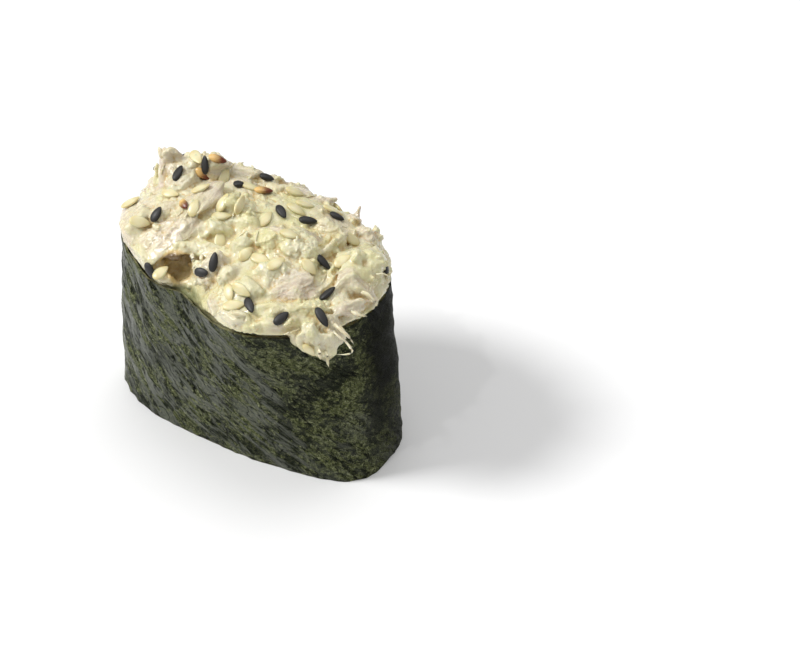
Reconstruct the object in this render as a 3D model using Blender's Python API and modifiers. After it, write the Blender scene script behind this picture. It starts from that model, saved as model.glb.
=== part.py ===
"""Gunkan sushi topped with tuna mayonnaise: an oval rice block, a strip of nori rolled round it
with its end lapped at the back, and a heap of tuna mayonnaise sprinkled with sesame.

Metres, +Z up. The origin is the middle of the underside. +X runs along the sushi and -Y is its
front, where the heap spills over the rim. Run with blender --background --python part.py.
"""

import bisect
import math
import random

import bmesh
import bpy
from mathutils import Matrix, Vector, noise
from mathutils.bvhtree import BVHTree

# Outline of the nori, middle of the sheet, where it stands and at its rim. The heap opens the rim
# and so draws the two ends in.
BASE_LENGTH = 0.0494
BASE_WIDTH = 0.0248
RIM_LENGTH = 0.0450
RIM_WIDTH = 0.0330
BASE_SQUARENESS = 2.6
RIM_SQUARENESS = 2.2
RIM_SHIFT = -0.0009
WRAP_HEIGHT = 0.0300
RIM_SLOPE = 0.012
RIM_WAVE = 0.0004

# Where the heap pushes the rim out and where the rim stays behind: angle, offset, spread
RIM_PUSHES = (
    (math.radians(-66.0), 0.0013, math.radians(17.0)),
    (math.radians(-99.0), -0.0024, math.radians(12.0)),
    (math.radians(-128.0), -0.0019, math.radians(21.0)),
)

# Where the base swells: angle, offset, spread
BASE_PUSHES = ((math.radians(-28.0), 0.0013, math.radians(22.0)),)

# Nori strip
NORI_THICKNESS = 0.0005
NORI_LAP = 0.13
NORI_RAMP = 0.10
NORI_COLUMNS = 62
NORI_ROWS = 7
RIPPLE_DEPTH = 0.00028
RIPPLE_SLOPE = 0.55
RIPPLE_WIDTH = 0.0042
RIPPLE_LENGTH = 0.016

# Pieces that touch keep this gap
CLEARANCE = 0.0003

# Corners closer than this are one corner
WELD = 0.00001

# Rice block and the grains on its underside
RICE_TOP = 0.0170
RICE_INSET = 0.00105
RICE_CORE_BOTTOM = 0.0013
RICE_SEGMENTS = 36
RICE_RINGS = 8
GRAIN_LENGTH = 0.0062
GRAIN_WIDTH = 0.0028
GRAIN_THICKNESS = 0.0027
GRAIN_SINK = 0.00022
GRAIN_SPACING = 0.0034
GRAIN_TRIES = 900
GRAIN_MOST = 46

# Heap of tuna mayonnaise: its height over the rim at the left end and at the right end
HEAP_LEFT = 0.0086
HEAP_RIGHT = 0.0050
HEAP_SHOULDER = 3.0
HEAP_OVERHANG = 0.0003
HEAP_INSET = 0.0009
HEAP_FLOOR = RICE_TOP + CLEARANCE
HEAP_AROUND = 40
HEAP_RINGS = 19
MOUND_RINGS = 13
TUCK_RINGS = 2
RELIEF_COARSE = (0.0062, 0.00110)
RELIEF_FINE = (0.0034, 0.00045)

# Where the heap's edge spills out over the rim or stays back in the nori: angle, offset, spread
HEAP_EDGES = (
    (math.radians(-158.0), 0.0004, math.radians(24.0)),
    (math.radians(-101.0), -0.0021, math.radians(17.0)),
    (math.radians(-64.0), 0.0005, math.radians(18.0)),
    (math.radians(12.0), 0.0004, math.radians(30.0)),
)
EDGE_DROP = 0.0014

# Sesame seeds and where they lie
SEED_LENGTH = 0.0032
SEED_WIDTH = 0.0019
SEED_THICKNESS = 0.0011
SEED_TAPER = 0.38
SEED_SINK = 0.00018
WHITE_SEEDS = 45
BLACK_SEEDS = 24
SEED_SPACING = 0.0027
GOLDEN_TURN = math.pi * (3.0 - math.sqrt(5.0))

COLOURS = {
    "nori": ((0.045, 0.055, 0.030, 1.0), 0.45),
    "rice": ((0.80, 0.77, 0.68, 1.0), 0.50),
    "tuna_mayonnaise": ((0.70, 0.62, 0.38, 1.0), 0.35),
}

# The heap's large forms, in millimetres and degrees: middle x, y, z, then length, width and
# thickness, heading of the length from +X, and tilt of its far end upwards
CHUNKS = (
    # lobe and crest at the left end, and the blade of tuna that stands on it
    (-15.2, -6.0, 32.8, 13.0, 11.0, 9.0, 55, 0),
    (-15.2, 2.6, 35.4, 11.0, 9.0, 7.6, 80, 0),
    (-17.4, 1.5, 38.8, 8.4, 4.4, 2.2, 140, 72),
    (-14.6, 5.2, 38.0, 6.5, 5.0, 4.6, 20, 12),
    # back ridge, left to right
    (-8.5, 6.2, 36.2, 11.0, 7.0, 4.8, -15, 0),
    (-0.5, 6.8, 34.5, 11.0, 7.5, 4.8, 5, 0),
    (8.0, 7.0, 33.4, 11.0, 8.0, 4.8, -10, -4),
    # broad flat flake at the right of the middle, then the mass past its crease
    (9.0, -4.4, 34.9, 13.0, 9.0, 4.8, -60, -22),
    (17.2, 1.2, 32.6, 9.0, 11.5, 7.2, 0, 0),
    (18.8, -4.8, 31.5, 6.5, 6.5, 4.4, 60, -12),
    (14.0, 8.2, 31.9, 9.0, 7.0, 5.0, -30, 0),
    # front slope and the lip that hangs over the rim
    (0.5, -8.4, 33.4, 13.0, 8.0, 6.0, 10, 0),
    (8.0, -14.8, 31.3, 12.0, 4.8, 3.4, 12, 0),
    (14.2, -10.6, 31.8, 8.0, 7.0, 4.6, -30, 0),
    # tongue that hangs over the rim at the front right
    (18.3, -11.2, 30.0, 8.0, 4.4, 5.4, 46, 0),
    (19.5, -11.7, 27.9, 4.4, 2.8, 6.6, 48, 0),
)

# Recess between the left lobe and the middle: place, then length, width and height
HOLLOW_PLACE = Vector((-7.3, -11.6, 31.9)) / 1000.0
HOLLOW_SIZE = (0.0048, 0.0060, 0.0068)

# Torn flakes that stand out of the heap
FLAKE_COUNT = 15
FLAKE_LENGTH = (0.0055, 0.0095)
FLAKE_WIDTH = 0.0034
FLAKE_THICKNESS = 0.0015

# No flake or seed lies higher than this
BARE_ABOVE = 0.0396


def clear_scene():
    """Removes the objects that the file opens with."""
    for item in list(bpy.data.objects):
        bpy.data.objects.remove(item, do_unlink=True)


def mix(first, last, share):
    """Value at this share of the way from first to last."""
    return first + (last - first) * share


def smooth_step(value):
    """0 below 0, 1 above 1, and a smooth rise between."""
    value = min(1.0, max(0.0, value))
    return value * value * (3.0 - 2.0 * value)


def bumps_at(angle, bumps):
    """Sum of smooth bumps round the outline, each with its angle, offset and spread."""
    total = 0.0
    for middle, offset, spread in bumps:
        apart = (angle - middle + math.pi) % math.tau - math.pi
        total += offset * math.exp(-((apart / spread) ** 2))
    return total


def oval_at(angle, share, out=0.0):
    """Point (x, y) of the wrap's outline at this height share, moved outwards by out."""
    share = min(1.15, max(0.0, share))
    half_length = mix(BASE_LENGTH, RIM_LENGTH, share) / 2.0
    half_width = mix(BASE_WIDTH, RIM_WIDTH, share) / 2.0
    power = mix(BASE_SQUARENESS, RIM_SQUARENESS, share)
    cosine, sine = math.cos(angle), math.sin(angle)
    along = math.copysign(abs(cosine) ** (2.0 / power), cosine)
    across = math.copysign(abs(sine) ** (2.0 / power), sine)
    normal = Vector(
        (
            math.copysign(abs(along) ** (power - 1.0), along) / half_length,
            math.copysign(abs(across) ** (power - 1.0), across) / half_width,
        )
    ).normalized()
    out += bumps_at(angle, RIM_PUSHES) * share * share
    out += bumps_at(angle, BASE_PUSHES) * max(0.0, 1.0 - share) ** 2
    middle = Vector((0.0, RIM_SHIFT * share))
    return middle + Vector((half_length * along, half_width * across)) + normal * out


def even_angles(samples=720):
    """Angles and the share of the mid-height outline passed at each, from the back's middle."""
    angles = [math.pi / 2.0 + math.tau * step / samples for step in range(samples + 1)]
    points = [oval_at(angle, 0.5) for angle in angles]
    passed = [0.0]
    for before, after in zip(points, points[1:]):
        passed.append(passed[-1] + (after - before).length)
    return angles, [length / passed[-1] for length in passed]


ANGLES, PASSED = even_angles()


def angle_of(turn):
    """Angle of the outline at this share of a turn, measured along the sheet."""
    turn = turn % 1.0
    after = min(max(bisect.bisect_right(PASSED, turn), 1), len(PASSED) - 1)
    span = PASSED[after] - PASSED[after - 1]
    return mix(ANGLES[after - 1], ANGLES[after], (turn - PASSED[after - 1]) / span)


def rim_height(angle):
    """Height of the nori's upper edge, which sinks a little towards the right end."""
    place = oval_at(angle, 1.0)
    wave = noise.noise(Vector((place.x, place.y, 0.0)) / RIPPLE_LENGTH)
    return WRAP_HEIGHT - RIM_SLOPE * place.x + RIM_WAVE * wave


def ripple(x, y, z):
    """How far the sheet stands out at a point, in creases that run down to the right."""
    across = (z + RIPPLE_SLOPE * x) / RIPPLE_WIDTH
    along = (x - RIPPLE_SLOPE * z) / RIPPLE_LENGTH
    return RIPPLE_DEPTH * noise.noise(Vector((across, along, y / RIPPLE_LENGTH)))


def wall_point(angle, share, out=0.0):
    """Point of the wrap at this share of its height, creases included."""
    z = rim_height(angle) * share
    flat = oval_at(angle, share)
    moved = oval_at(angle, share, out + ripple(flat.x, flat.y, z))
    return Vector((moved.x, moved.y, z))


def lap_offset(turn):
    """How far the strip has climbed outwards to lie on its own start."""
    climb = smooth_step((turn - 1.0 + NORI_RAMP) / NORI_RAMP)
    return (NORI_THICKNESS + CLEARANCE) * climb


def new_object(name, mesh, collection):
    """Links a mesh in a collection as one object."""
    item = bpy.data.objects.new(name, mesh)
    collection.objects.link(item)
    return item


def mesh_from(bm, name):
    """Turns a bmesh into a mesh with its faces pointing out."""
    bmesh.ops.recalc_face_normals(bm, faces=bm.faces)
    mesh = bpy.data.meshes.new(name)
    bm.to_mesh(mesh)
    bm.free()
    return mesh


def rolled_sheet(name, collection, first_turn, last_turn, columns, lapped, top=0.0, bottom=0.0):
    """A flat strip rolled round the outline from one turn to another, as an open surface."""
    bm = bmesh.new()
    bmesh.ops.create_grid(bm, x_segments=columns, y_segments=NORI_ROWS, size=0.5)
    for vertex in bm.verts:
        turn = mix(first_turn, last_turn, vertex.co.x + 0.5)
        share = mix(-bottom, 1.0 + top, vertex.co.y + 0.5)
        out = lap_offset(turn) if lapped else 0.0
        vertex.co = wall_point(angle_of(turn), share, out)
    bmesh.ops.remove_doubles(bm, verts=bm.verts, dist=0.00002)
    return new_object(name, mesh_from(bm, name), collection)


def thicken(item, thickness):
    """Gives a sheet its wall, half to each side."""
    wall = item.modifiers.new("Wall", "SOLIDIFY")
    wall.thickness = thickness
    wall.offset = 0.0
    wall.use_even_offset = False


def build_nori(collection):
    """The strip of nori: once round the rice, then over its own start at the back. Its lower edge
    ends on the ground."""
    start = -NORI_LAP / 2.0
    sheet = rolled_sheet("nori_wrap", collection, start, start + 1.0 + NORI_LAP, NORI_COLUMNS, True)
    thicken(sheet, NORI_THICKNESS)
    apply_modifiers(sheet)
    for vertex in sheet.data.vertices:
        vertex.co.z = max(vertex.co.z, 0.0)
    return sheet


def build_nori_cutter(collection):
    """A closed band, thicker than the nori by the clearance on each side, for the heap."""
    band = rolled_sheet("nori_room", collection, 0.0, 1.0, NORI_COLUMNS, False, top=0.012)
    thicken(band, NORI_THICKNESS + 2.0 * CLEARANCE)
    return band


def union_all(core, pieces, collection):
    """Fuses the pieces to the core with one Boolean, applies it and removes them."""
    modifier = core.modifiers.new("Fuse", "BOOLEAN")
    modifier.operation = "UNION"
    modifier.operand_type = "COLLECTION"
    modifier.collection = collection
    modifier.solver = "EXACT"
    apply_modifiers(core)
    for piece in pieces:
        bpy.data.objects.remove(piece, do_unlink=True)


def cut_away(item, cutter, solver):
    """Cuts a closed cutter out of an object and hides the cutter."""
    cutter.hide_render = True
    cutter.display_type = "WIRE"
    modifier = item.modifiers.new("Cut", "BOOLEAN")
    modifier.operation = "DIFFERENCE"
    modifier.object = cutter
    modifier.solver = solver
    apply_modifiers(item)


def apply_modifiers(item):
    """Replaces an object's mesh by what its modifiers make of it."""
    graph = bpy.context.evaluated_depsgraph_get()
    made = bpy.data.meshes.new_from_object(item.evaluated_get(graph))
    item.modifiers.clear()
    item.data = made


def loose_faces(bm):
    """Faces that aren't on the largest body, found by walking across clean edges."""
    unseen = set(bm.faces)
    bodies = []
    while unseen:
        body, edge = set(), {unseen.pop()}
        while edge:
            face = edge.pop()
            body.add(face)
            sides = [side for side in face.edges if len(side.link_faces) == 2]
            near = {other for side in sides for other in side.link_faces}
            edge |= near & unseen
            unseen -= near
        bodies.append(body)
    bodies.sort(key=len)
    return [face for body in bodies[:-1] for face in body]


def keep_largest(item):
    """Drops loose scraps and fills hollows that the fusing sealed, leaving one body."""
    bm = bmesh.new()
    bm.from_mesh(item.data)
    bmesh.ops.triangulate(bm, faces=bm.faces)
    bmesh.ops.delete(bm, geom=loose_faces(bm), context="FACES")
    bmesh.ops.remove_doubles(bm, verts=bm.verts, dist=WELD)
    bmesh.ops.delete(bm, geom=loose_faces(bm), context="FACES")
    bm.to_mesh(item.data)
    bm.free()


def ellipsoid(name, collection, around, rings, size, matrix, taper=0.0):
    """A lump of the given length, width and thickness, narrower towards +X by the taper."""
    bm = bmesh.new()
    bmesh.ops.create_uvsphere(bm, u_segments=around, v_segments=rings, radius=0.5)
    upright = Matrix.Rotation(math.pi / 2.0, 4, "Y")
    for vertex in bm.verts:
        point = upright @ vertex.co
        narrow = 1.0 - taper * 2.0 * point.x
        point = Vector((point.x * size[0], point.y * size[1] * narrow, point.z * size[2]))
        vertex.co = matrix @ point
    return new_object(name, mesh_from(bm, name), collection)


def inside_base(x, y, inset):
    """Whether a point is inside the outline of the base by at least the inset."""
    along = abs(x) / (BASE_LENGTH / 2.0 - inset)
    across = abs(y) / (BASE_WIDTH / 2.0 - inset)
    return along**BASE_SQUARENESS + across**BASE_SQUARENESS < 1.0


def build_rice(collection, scraps):
    """The pressed rice block, whose grains show on its underside, flattened where they rest."""
    bm = bmesh.new()
    bmesh.ops.create_uvsphere(bm, u_segments=RICE_SEGMENTS, v_segments=RICE_RINGS, radius=1.0)
    for vertex in bm.verts:
        ring = round(math.acos(max(-1.0, min(1.0, vertex.co.z))) / math.pi * RICE_RINGS)
        angle = math.atan2(vertex.co.y, vertex.co.x)
        z = RICE_TOP if ring < 2 else RICE_CORE_BOTTOM
        reach = 0.0 if ring == 0 else min(1.0, (RICE_RINGS - ring) / (RICE_RINGS - 2))
        flat = oval_at(angle, z / WRAP_HEIGHT, -RICE_INSET) * reach
        vertex.co = Vector((flat.x, flat.y, z))
    block = new_object("rice_block", mesh_from(bm, "rice_block"), collection)

    draw = random.Random(13)
    places = [Vector((0.0, 0.0))]
    for _ in range(GRAIN_TRIES):
        if len(places) == GRAIN_MOST:
            break
        place = Vector(
            (
                draw.uniform(-0.5, 0.5) * BASE_LENGTH,
                draw.uniform(-0.5, 0.5) * BASE_WIDTH,
            )
        )
        clear = all((place - other).length > GRAIN_SPACING for other in places)
        if clear and inside_base(place.x, place.y, RICE_INSET + GRAIN_WIDTH * 0.8):
            places.append(place)
    resting = []
    grains = []
    for index, place in enumerate(places):
        alone = all((place - other).length > GRAIN_LENGTH * 1.25 for other in resting)
        if alone:
            resting.append(place)
        flat = 0.0 if alone else draw.uniform(0.25, 1.0) * GRAIN_SINK
        grains.append(build_grain(index, place, flat, draw, scraps))
    rest_on_origin(grains[0])
    union_all(block, grains, scraps)
    keep_largest(block)
    return block


def rest_on_origin(grain):
    """Presses a grain's lowest side flatter and shifts it so that this side covers the origin."""
    for vertex in grain.data.vertices:
        vertex.co.z = max(vertex.co.z - 2.0 * GRAIN_SINK, 0.0)
    pressed = [vertex.co.copy() for vertex in grain.data.vertices if vertex.co.z < WELD]
    middle = sum(pressed, Vector()) / len(pressed) + Vector((WELD * 6.0, WELD * 9.0, 0.0))
    for vertex in grain.data.vertices:
        vertex.co -= Vector((middle.x, middle.y, 0.0))


def build_grain(index, place, flat, draw, scraps):
    """One grain of rice lying on the underside, its lowest side pressed flat at a height."""
    size = (
        GRAIN_LENGTH * draw.uniform(0.85, 1.1),
        GRAIN_WIDTH * draw.uniform(0.9, 1.1),
        GRAIN_THICKNESS,
    )
    heading = draw.uniform(0.0, math.pi)
    low = flat + GRAIN_THICKNESS / 2.0 - GRAIN_SINK - draw.uniform(0.0, GRAIN_SINK)
    lean = Matrix.Rotation(math.radians(draw.uniform(-5.0, 5.0)), 4, "Y")
    roll = Matrix.Rotation(math.radians(draw.uniform(18.0, 42.0)), 4, "X")
    for _ in range(24):
        arm = Vector((math.cos(heading), math.sin(heading))) * size[0] / 2.0
        ends = (place + arm, place - arm)
        if all(inside_base(end.x, end.y, RICE_INSET + 0.0006) for end in ends):
            break
        heading += math.pi / 24.0
    else:
        size = (GRAIN_WIDTH * 1.2, size[1], size[2])
    turn = Matrix.Rotation(heading, 4, "Z")
    matrix = Matrix.Translation((place.x, place.y, low)) @ turn @ lean @ roll
    grain = ellipsoid(f"grain_{index}", scraps, 6, 4, size, matrix)
    for vertex in grain.data.vertices:
        vertex.co.z = max(vertex.co.z, flat)
    return grain


def heap_height(x, y, reach):
    """Height of the bare heap over the rim at a plan point, where reach is 0 in the middle and
    1 at the edge."""
    tall = mix(HEAP_LEFT, HEAP_RIGHT, smooth_step(x / RIM_LENGTH + 0.5))
    dome = tall * (1.0 - min(1.0, reach) ** HEAP_SHOULDER) ** 0.75
    rough = 0.0
    for number, (wave, depth) in enumerate((RELIEF_COARSE, RELIEF_FINE)):
        rough += depth * noise.noise(Vector((x / wave, y / wave, 3.7 + number)))
    return dome + rough * smooth_step((1.0 - reach) / 0.2)


def heap_edge(angle):
    """How far the heap's edge lies past the outline, and its height there."""
    out = HEAP_OVERHANG + bumps_at(angle, HEAP_EDGES)
    inside = smooth_step(-out / HEAP_INSET)
    return out, rim_height(angle) + CLEARANCE * 3.0 - EDGE_DROP * inside


def heap_point(angle, ring):
    """Point of the bare heap on one of its rings, counted from the top."""
    out, brim = heap_edge(angle)
    if ring <= MOUND_RINGS:
        reach = math.sin(ring / MOUND_RINGS * math.pi / 2.0)
        plan = oval_at(angle, 1.0, out) * reach
        lift = heap_height(plan.x, plan.y, reach)
        return Vector((plan.x, plan.y, brim + max(0.0, lift)))
    if ring <= MOUND_RINGS + TUCK_RINGS:
        share = (ring - MOUND_RINGS) / TUCK_RINGS
        plan = oval_at(angle, 1.0, mix(out, -HEAP_INSET - RIPPLE_DEPTH, share))
        return Vector((plan.x, plan.y, brim - CLEARANCE * share))
    share = (ring - MOUND_RINGS - TUCK_RINGS) / (HEAP_RINGS - MOUND_RINGS - TUCK_RINGS)
    if share >= 1.0:
        return Vector((0.0, 0.0, HEAP_FLOOR))
    steps = HEAP_RINGS - MOUND_RINGS - TUCK_RINGS - 1
    down = min(1.0, share * (steps + 1) / steps)
    z = mix(brim - CLEARANCE, HEAP_FLOOR, down)
    plan = oval_at(angle, z / WRAP_HEIGHT, -HEAP_INSET - RIPPLE_DEPTH)
    return Vector((plan.x, plan.y, z))


def build_heap_core(collection):
    """The bare heap: it fills the nori above the rice, swells over the rim and rounds off."""
    bm = bmesh.new()
    bmesh.ops.create_uvsphere(bm, u_segments=HEAP_AROUND, v_segments=HEAP_RINGS, radius=1.0)
    for vertex in bm.verts:
        ring = round(math.acos(max(-1.0, min(1.0, vertex.co.z))) / math.pi * HEAP_RINGS)
        angle = math.atan2(vertex.co.y, vertex.co.x)
        vertex.co = heap_point(angle, ring)
    return new_object("tuna_topping", mesh_from(bm, "tuna_topping"), collection)


def chunk_matrix(x, y, z, heading, tilt):
    """Place of a chunk from its middle in millimetres and its angles in degrees."""
    turn = Matrix.Rotation(math.radians(heading), 4, "Z")
    lean = Matrix.Rotation(-math.radians(tilt), 4, "Y")
    return Matrix.Translation(Vector((x, y, z)) / 1000.0) @ turn @ lean


def build_chunks(scraps):
    """The lumps and flakes that give the heap its large forms."""
    made = []
    for number, (x, y, z, length, width, thickness, heading, tilt) in enumerate(CHUNKS):
        size = (length / 1000.0, width / 1000.0, thickness / 1000.0)
        matrix = chunk_matrix(x, y, z, heading, tilt)
        chunk = ellipsoid(f"chunk_{number}", scraps, 9, 7, size, matrix)
        for vertex in chunk.data.vertices:
            push = noise.noise(vertex.co / RELIEF_FINE[0] + Vector((number, 0.0, 0.0)))
            middle = Vector((x, y, z)) / 1000.0
            vertex.co += (vertex.co - middle).normalized() * push * RELIEF_FINE[1]
        made.append(chunk)
    return made


def build_hollow(cutters):
    """The recess that shows the darker inside of the heap."""
    return ellipsoid("hollow", cutters, 8, 6, HOLLOW_SIZE, Matrix.Translation(HOLLOW_PLACE))


def surface_of(item):
    """Search tree of an object's evaluated surface."""
    graph = bpy.context.evaluated_depsgraph_get()
    return BVHTree.FromObject(item, graph)


def spread_places(tree, count, draw, lowest, spacing, taken):
    """Places spread evenly over the heap by the golden angle, each with its outward normal. The
    blade stays bare."""
    middle = Vector((0.0, 0.0, WRAP_HEIGHT - 0.004))
    half = Vector((RIM_LENGTH / 2.0, RIM_WIDTH / 2.0, HEAP_LEFT + 0.004))
    places = []
    step = 0
    while len(places) < count and step < count * 6:
        height = 1.0 - (step % (count * 2) + 0.5) / (count * 2.0)
        angle = step * GOLDEN_TURN + draw.uniform(-0.4, 0.4)
        flat = math.sqrt(1.0 - height * height)
        aim = Vector((math.cos(angle) * flat, math.sin(angle) * flat, height)) * half
        step += 1
        far = middle + aim.normalized() * 0.06
        hit, normal, _, _ = tree.ray_cast(far, (middle - far).normalized())
        if hit is None or not lowest < hit.z < BARE_ABOVE:
            continue
        if any((hit - other).length < spacing for other in taken):
            continue
        taken.append(hit)
        places.append((hit, normal))
    return places


def lying_matrix(place, normal, heading):
    """Frame at a place with its Z along the normal, turned about it by the heading."""
    return Matrix.Translation(place) @ normal.to_track_quat("Z", "Y").to_matrix().to_4x4() @ (
        Matrix.Rotation(heading, 4, "Z")
    )


def build_flakes(tree, draw, scraps, taken):
    """Torn flakes of tuna, half sunk in the heap, each leaning out at one end."""
    lowest = WRAP_HEIGHT + 0.0025
    made = []
    for number, (place, normal) in enumerate(
        spread_places(tree, FLAKE_COUNT, draw, lowest, 0.004, taken)
    ):
        size = (draw.uniform(*FLAKE_LENGTH), FLAKE_WIDTH, FLAKE_THICKNESS)
        lean = Matrix.Rotation(math.radians(draw.uniform(-22.0, 22.0)), 4, "Y")
        matrix = lying_matrix(place, normal, draw.uniform(0.0, math.tau)) @ lean
        made.append(ellipsoid(f"flake_{number}", scraps, 7, 5, size, matrix, taper=0.3))
    return made


def build_seeds(tree, draw, scraps, taken):
    """White and black sesame on the heap, lying flat and sunk by a little of their thickness."""
    lowest = WRAP_HEIGHT + 0.0021
    places = spread_places(tree, WHITE_SEEDS + BLACK_SEEDS, draw, lowest, SEED_SPACING, taken)
    made = []
    for number, (place, normal) in enumerate(places):
        grown = draw.uniform(0.9, 1.08)
        size = (SEED_LENGTH * grown, SEED_WIDTH * grown, SEED_THICKNESS)
        sunk = place + normal * (SEED_THICKNESS / 2.0 - SEED_SINK)
        lean = Matrix.Rotation(math.radians(draw.uniform(-12.0, 12.0)), 4, "Y")
        matrix = lying_matrix(sunk, normal, draw.uniform(0.0, math.tau)) @ lean
        made.append(ellipsoid(f"seed_{number}", scraps, 5, 4, size, matrix, taper=SEED_TAPER))
    return made


def build_topping(collection, scraps, cutters):
    """The heap: bare core, chunks, flakes and seeds fused, then cleared of the nori."""
    heap = build_heap_core(collection)
    union_all(heap, build_chunks(scraps), scraps)
    cut_away(heap, build_hollow(cutters), "EXACT")
    cut_away(heap, build_nori_cutter(cutters), "EXACT")
    keep_largest(heap)
    draw = random.Random(8)
    taken = []
    tree = surface_of(heap)
    flakes = build_flakes(tree, draw, scraps, taken)
    seeds = build_seeds(tree, draw, scraps, taken)
    union_all(heap, flakes + seeds, scraps)
    keep_largest(heap)
    return heap


def paint(item, slot):
    """Gives an object its plain material, and smooth faces up to an angle."""
    colour, roughness = COLOURS[slot]
    material = bpy.data.materials.new(slot)
    material.use_nodes = True
    shader = material.node_tree.nodes["Principled BSDF"]
    shader.inputs["Base Color"].default_value = colour
    shader.inputs["Roughness"].default_value = roughness
    material.diffuse_color = colour
    item.data.materials.clear()
    item.data.materials.append(material)
    item.data.shade_smooth()
    item.data.set_sharp_from_angle(angle=math.radians(50.0))


def main():
    """Builds the three pieces of the sushi."""
    clear_scene()
    scene = bpy.context.scene.collection
    parts = bpy.data.collections.new("tuna_mayonnaise_gunkan")
    scraps = bpy.data.collections.new("pieces_to_fuse")
    cutters = bpy.data.collections.new("cutters")
    for collection in (parts, scraps, cutters):
        scene.children.link(collection)
    paint(build_nori(parts), "nori")
    paint(build_rice(parts, scraps), "rice")
    paint(build_topping(parts, scraps, cutters), "tuna_mayonnaise")


main()
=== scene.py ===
"""Studio picture of a gunkan sushi heaped with tuna mayonnaise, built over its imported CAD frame.

Metres, +Z up. The origin is the middle of the underside, +X runs along the sushi and -Y is its
front, where the heap spills over the nori.
"""

import logging
import math
import random
from dataclasses import dataclass
from enum import Enum

import bpy
import numpy as np
from mathutils import Matrix, Vector, noise
from mathutils.bvhtree import BVHTree


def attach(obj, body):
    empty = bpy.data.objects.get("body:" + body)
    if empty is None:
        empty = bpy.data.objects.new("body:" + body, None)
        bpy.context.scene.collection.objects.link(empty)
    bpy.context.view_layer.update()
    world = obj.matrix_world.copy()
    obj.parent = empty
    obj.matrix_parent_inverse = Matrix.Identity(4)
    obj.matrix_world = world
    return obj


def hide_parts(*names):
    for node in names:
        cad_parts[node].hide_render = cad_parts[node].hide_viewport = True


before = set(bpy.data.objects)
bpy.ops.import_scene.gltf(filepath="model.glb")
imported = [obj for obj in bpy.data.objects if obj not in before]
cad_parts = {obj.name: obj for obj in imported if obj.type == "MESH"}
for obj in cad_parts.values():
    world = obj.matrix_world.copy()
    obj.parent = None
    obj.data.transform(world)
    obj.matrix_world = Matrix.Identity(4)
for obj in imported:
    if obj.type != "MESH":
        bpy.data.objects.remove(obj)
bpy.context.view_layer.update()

LOG = logging.getLogger("gunkan")
MM = 0.001
GOLDEN_TURN = math.pi * (3.0 - math.sqrt(5.0))
ZERO = (0.0, 0.0, 0.0)
CLEAR = 0.06  # height that is well over the heap, where lines down to it start

Colour = tuple[float, float, float]
Item = bpy.types.Object
Paint = bpy.types.Material
Plug = bpy.types.NodeSocket
Tree = bpy.types.NodeTree


# ---- small helpers -----------------------------------------------------------------------------


def mix(first: float, last: float, share: float) -> float:
    """Value at a share of the way from the first to the last."""
    return first + (last - first) * share


def smooth_step(value: float) -> float:
    """0 below 0, 1 above 1, with a smooth rise between."""
    value = min(1.0, max(0.0, value))
    return value * value * (3.0 - 2.0 * value)


def ramp(values: np.ndarray, start: float, width: float) -> np.ndarray:
    """Straight rise from 0 at the start to 1 a width on, or a width back if it is below 0."""
    return np.clip((values - start) / width, 0.0, 1.0)


def linear(red: int, green: int, blue: int) -> Colour:
    """Scene-linear colour of an 8-bit display colour."""
    shares = [channel / 255.0 for channel in (red, green, blue)]
    return tuple(c / 12.92 if c <= 0.04045 else ((c + 0.055) / 1.055) ** 2.4 for c in shares)


def deselect() -> None:
    """Deselects every object, so that an operator acts only on what is picked next."""
    if bpy.context.object and bpy.context.object.mode != "OBJECT":
        bpy.ops.object.mode_set(mode="OBJECT")
    bpy.ops.object.select_all(action="DESELECT")


def pick(items: list[Item]) -> None:
    """Selects these objects alone, the first one active.

    Args:
        items: the objects.
    """
    deselect()
    for item in items:
        item.select_set(True)
    bpy.context.view_layer.objects.active = items[0]


def apply_modifiers(item: Item) -> None:
    """Applies an object's modifiers in order.

    Args:
        item: the object.
    """
    pick([item])
    for modifier in list(item.modifiers):
        bpy.ops.object.modifier_apply(modifier=modifier.name)


def join(items: list[Item], name: str) -> Item:
    """Joins objects into one, at the origin and unturned.

    Args:
        items: the objects.
        name: name of the result.

    Returns:
        The joined object.
    """
    pick(items)
    if len(items) > 1:
        bpy.ops.object.join()
    joined = bpy.context.view_layer.objects.active
    bpy.ops.object.transform_apply(location=True, rotation=True, scale=True)
    joined.name = name
    joined.data.name = name
    return joined


def ball(rounds: int) -> Item:
    """A ball of triangles, 1 across, to shape.

    Args:
        rounds: how finely it is divided.

    Returns:
        The ball.
    """
    deselect()
    bpy.ops.mesh.primitive_ico_sphere_add(subdivisions=rounds, radius=0.5)
    return bpy.context.object


def globe(segments: int, rings: int, radius: float = 0.5) -> Item:
    """A ball with poles at its top and its foot, to shape.

    Args:
        segments: faces round it.
        rings: faces from pole to pole.
        radius: its radius.

    Returns:
        The ball.
    """
    deselect()
    bpy.ops.mesh.primitive_uv_sphere_add(segments=segments, ring_count=rings, radius=radius)
    return bpy.context.object


def copy_to(model: Item, matrix: Matrix) -> Item:
    """Copies a model with its own mesh.

    Args:
        model: the model.
        matrix: the copy's place, turn and size.

    Returns:
        The copy.
    """
    copy = model.copy()
    copy.data = model.data.copy()
    copy.data.transform(matrix)
    bpy.context.scene.collection.objects.link(copy)
    return copy


def dig(item: Item, digger: Item) -> None:
    """Takes a shape out of an object.

    Args:
        item: the object.
        digger: the shape, which is removed.
    """
    cut = item.modifiers.new("Cut", "BOOLEAN")
    cut.operation = "DIFFERENCE"
    cut.object = digger
    cut.solver = "MANIFOLD"
    apply_modifiers(item)
    bpy.data.objects.remove(digger)


def thicken(item: Item, thickness: float) -> None:
    """Gives a sheet its thickness, half to each side.

    Args:
        item: the sheet.
        thickness: its thickness.
    """
    wall = item.modifiers.new("Wall", "SOLIDIFY")
    wall.thickness = thickness
    wall.offset = 0.0
    apply_modifiers(item)


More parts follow.
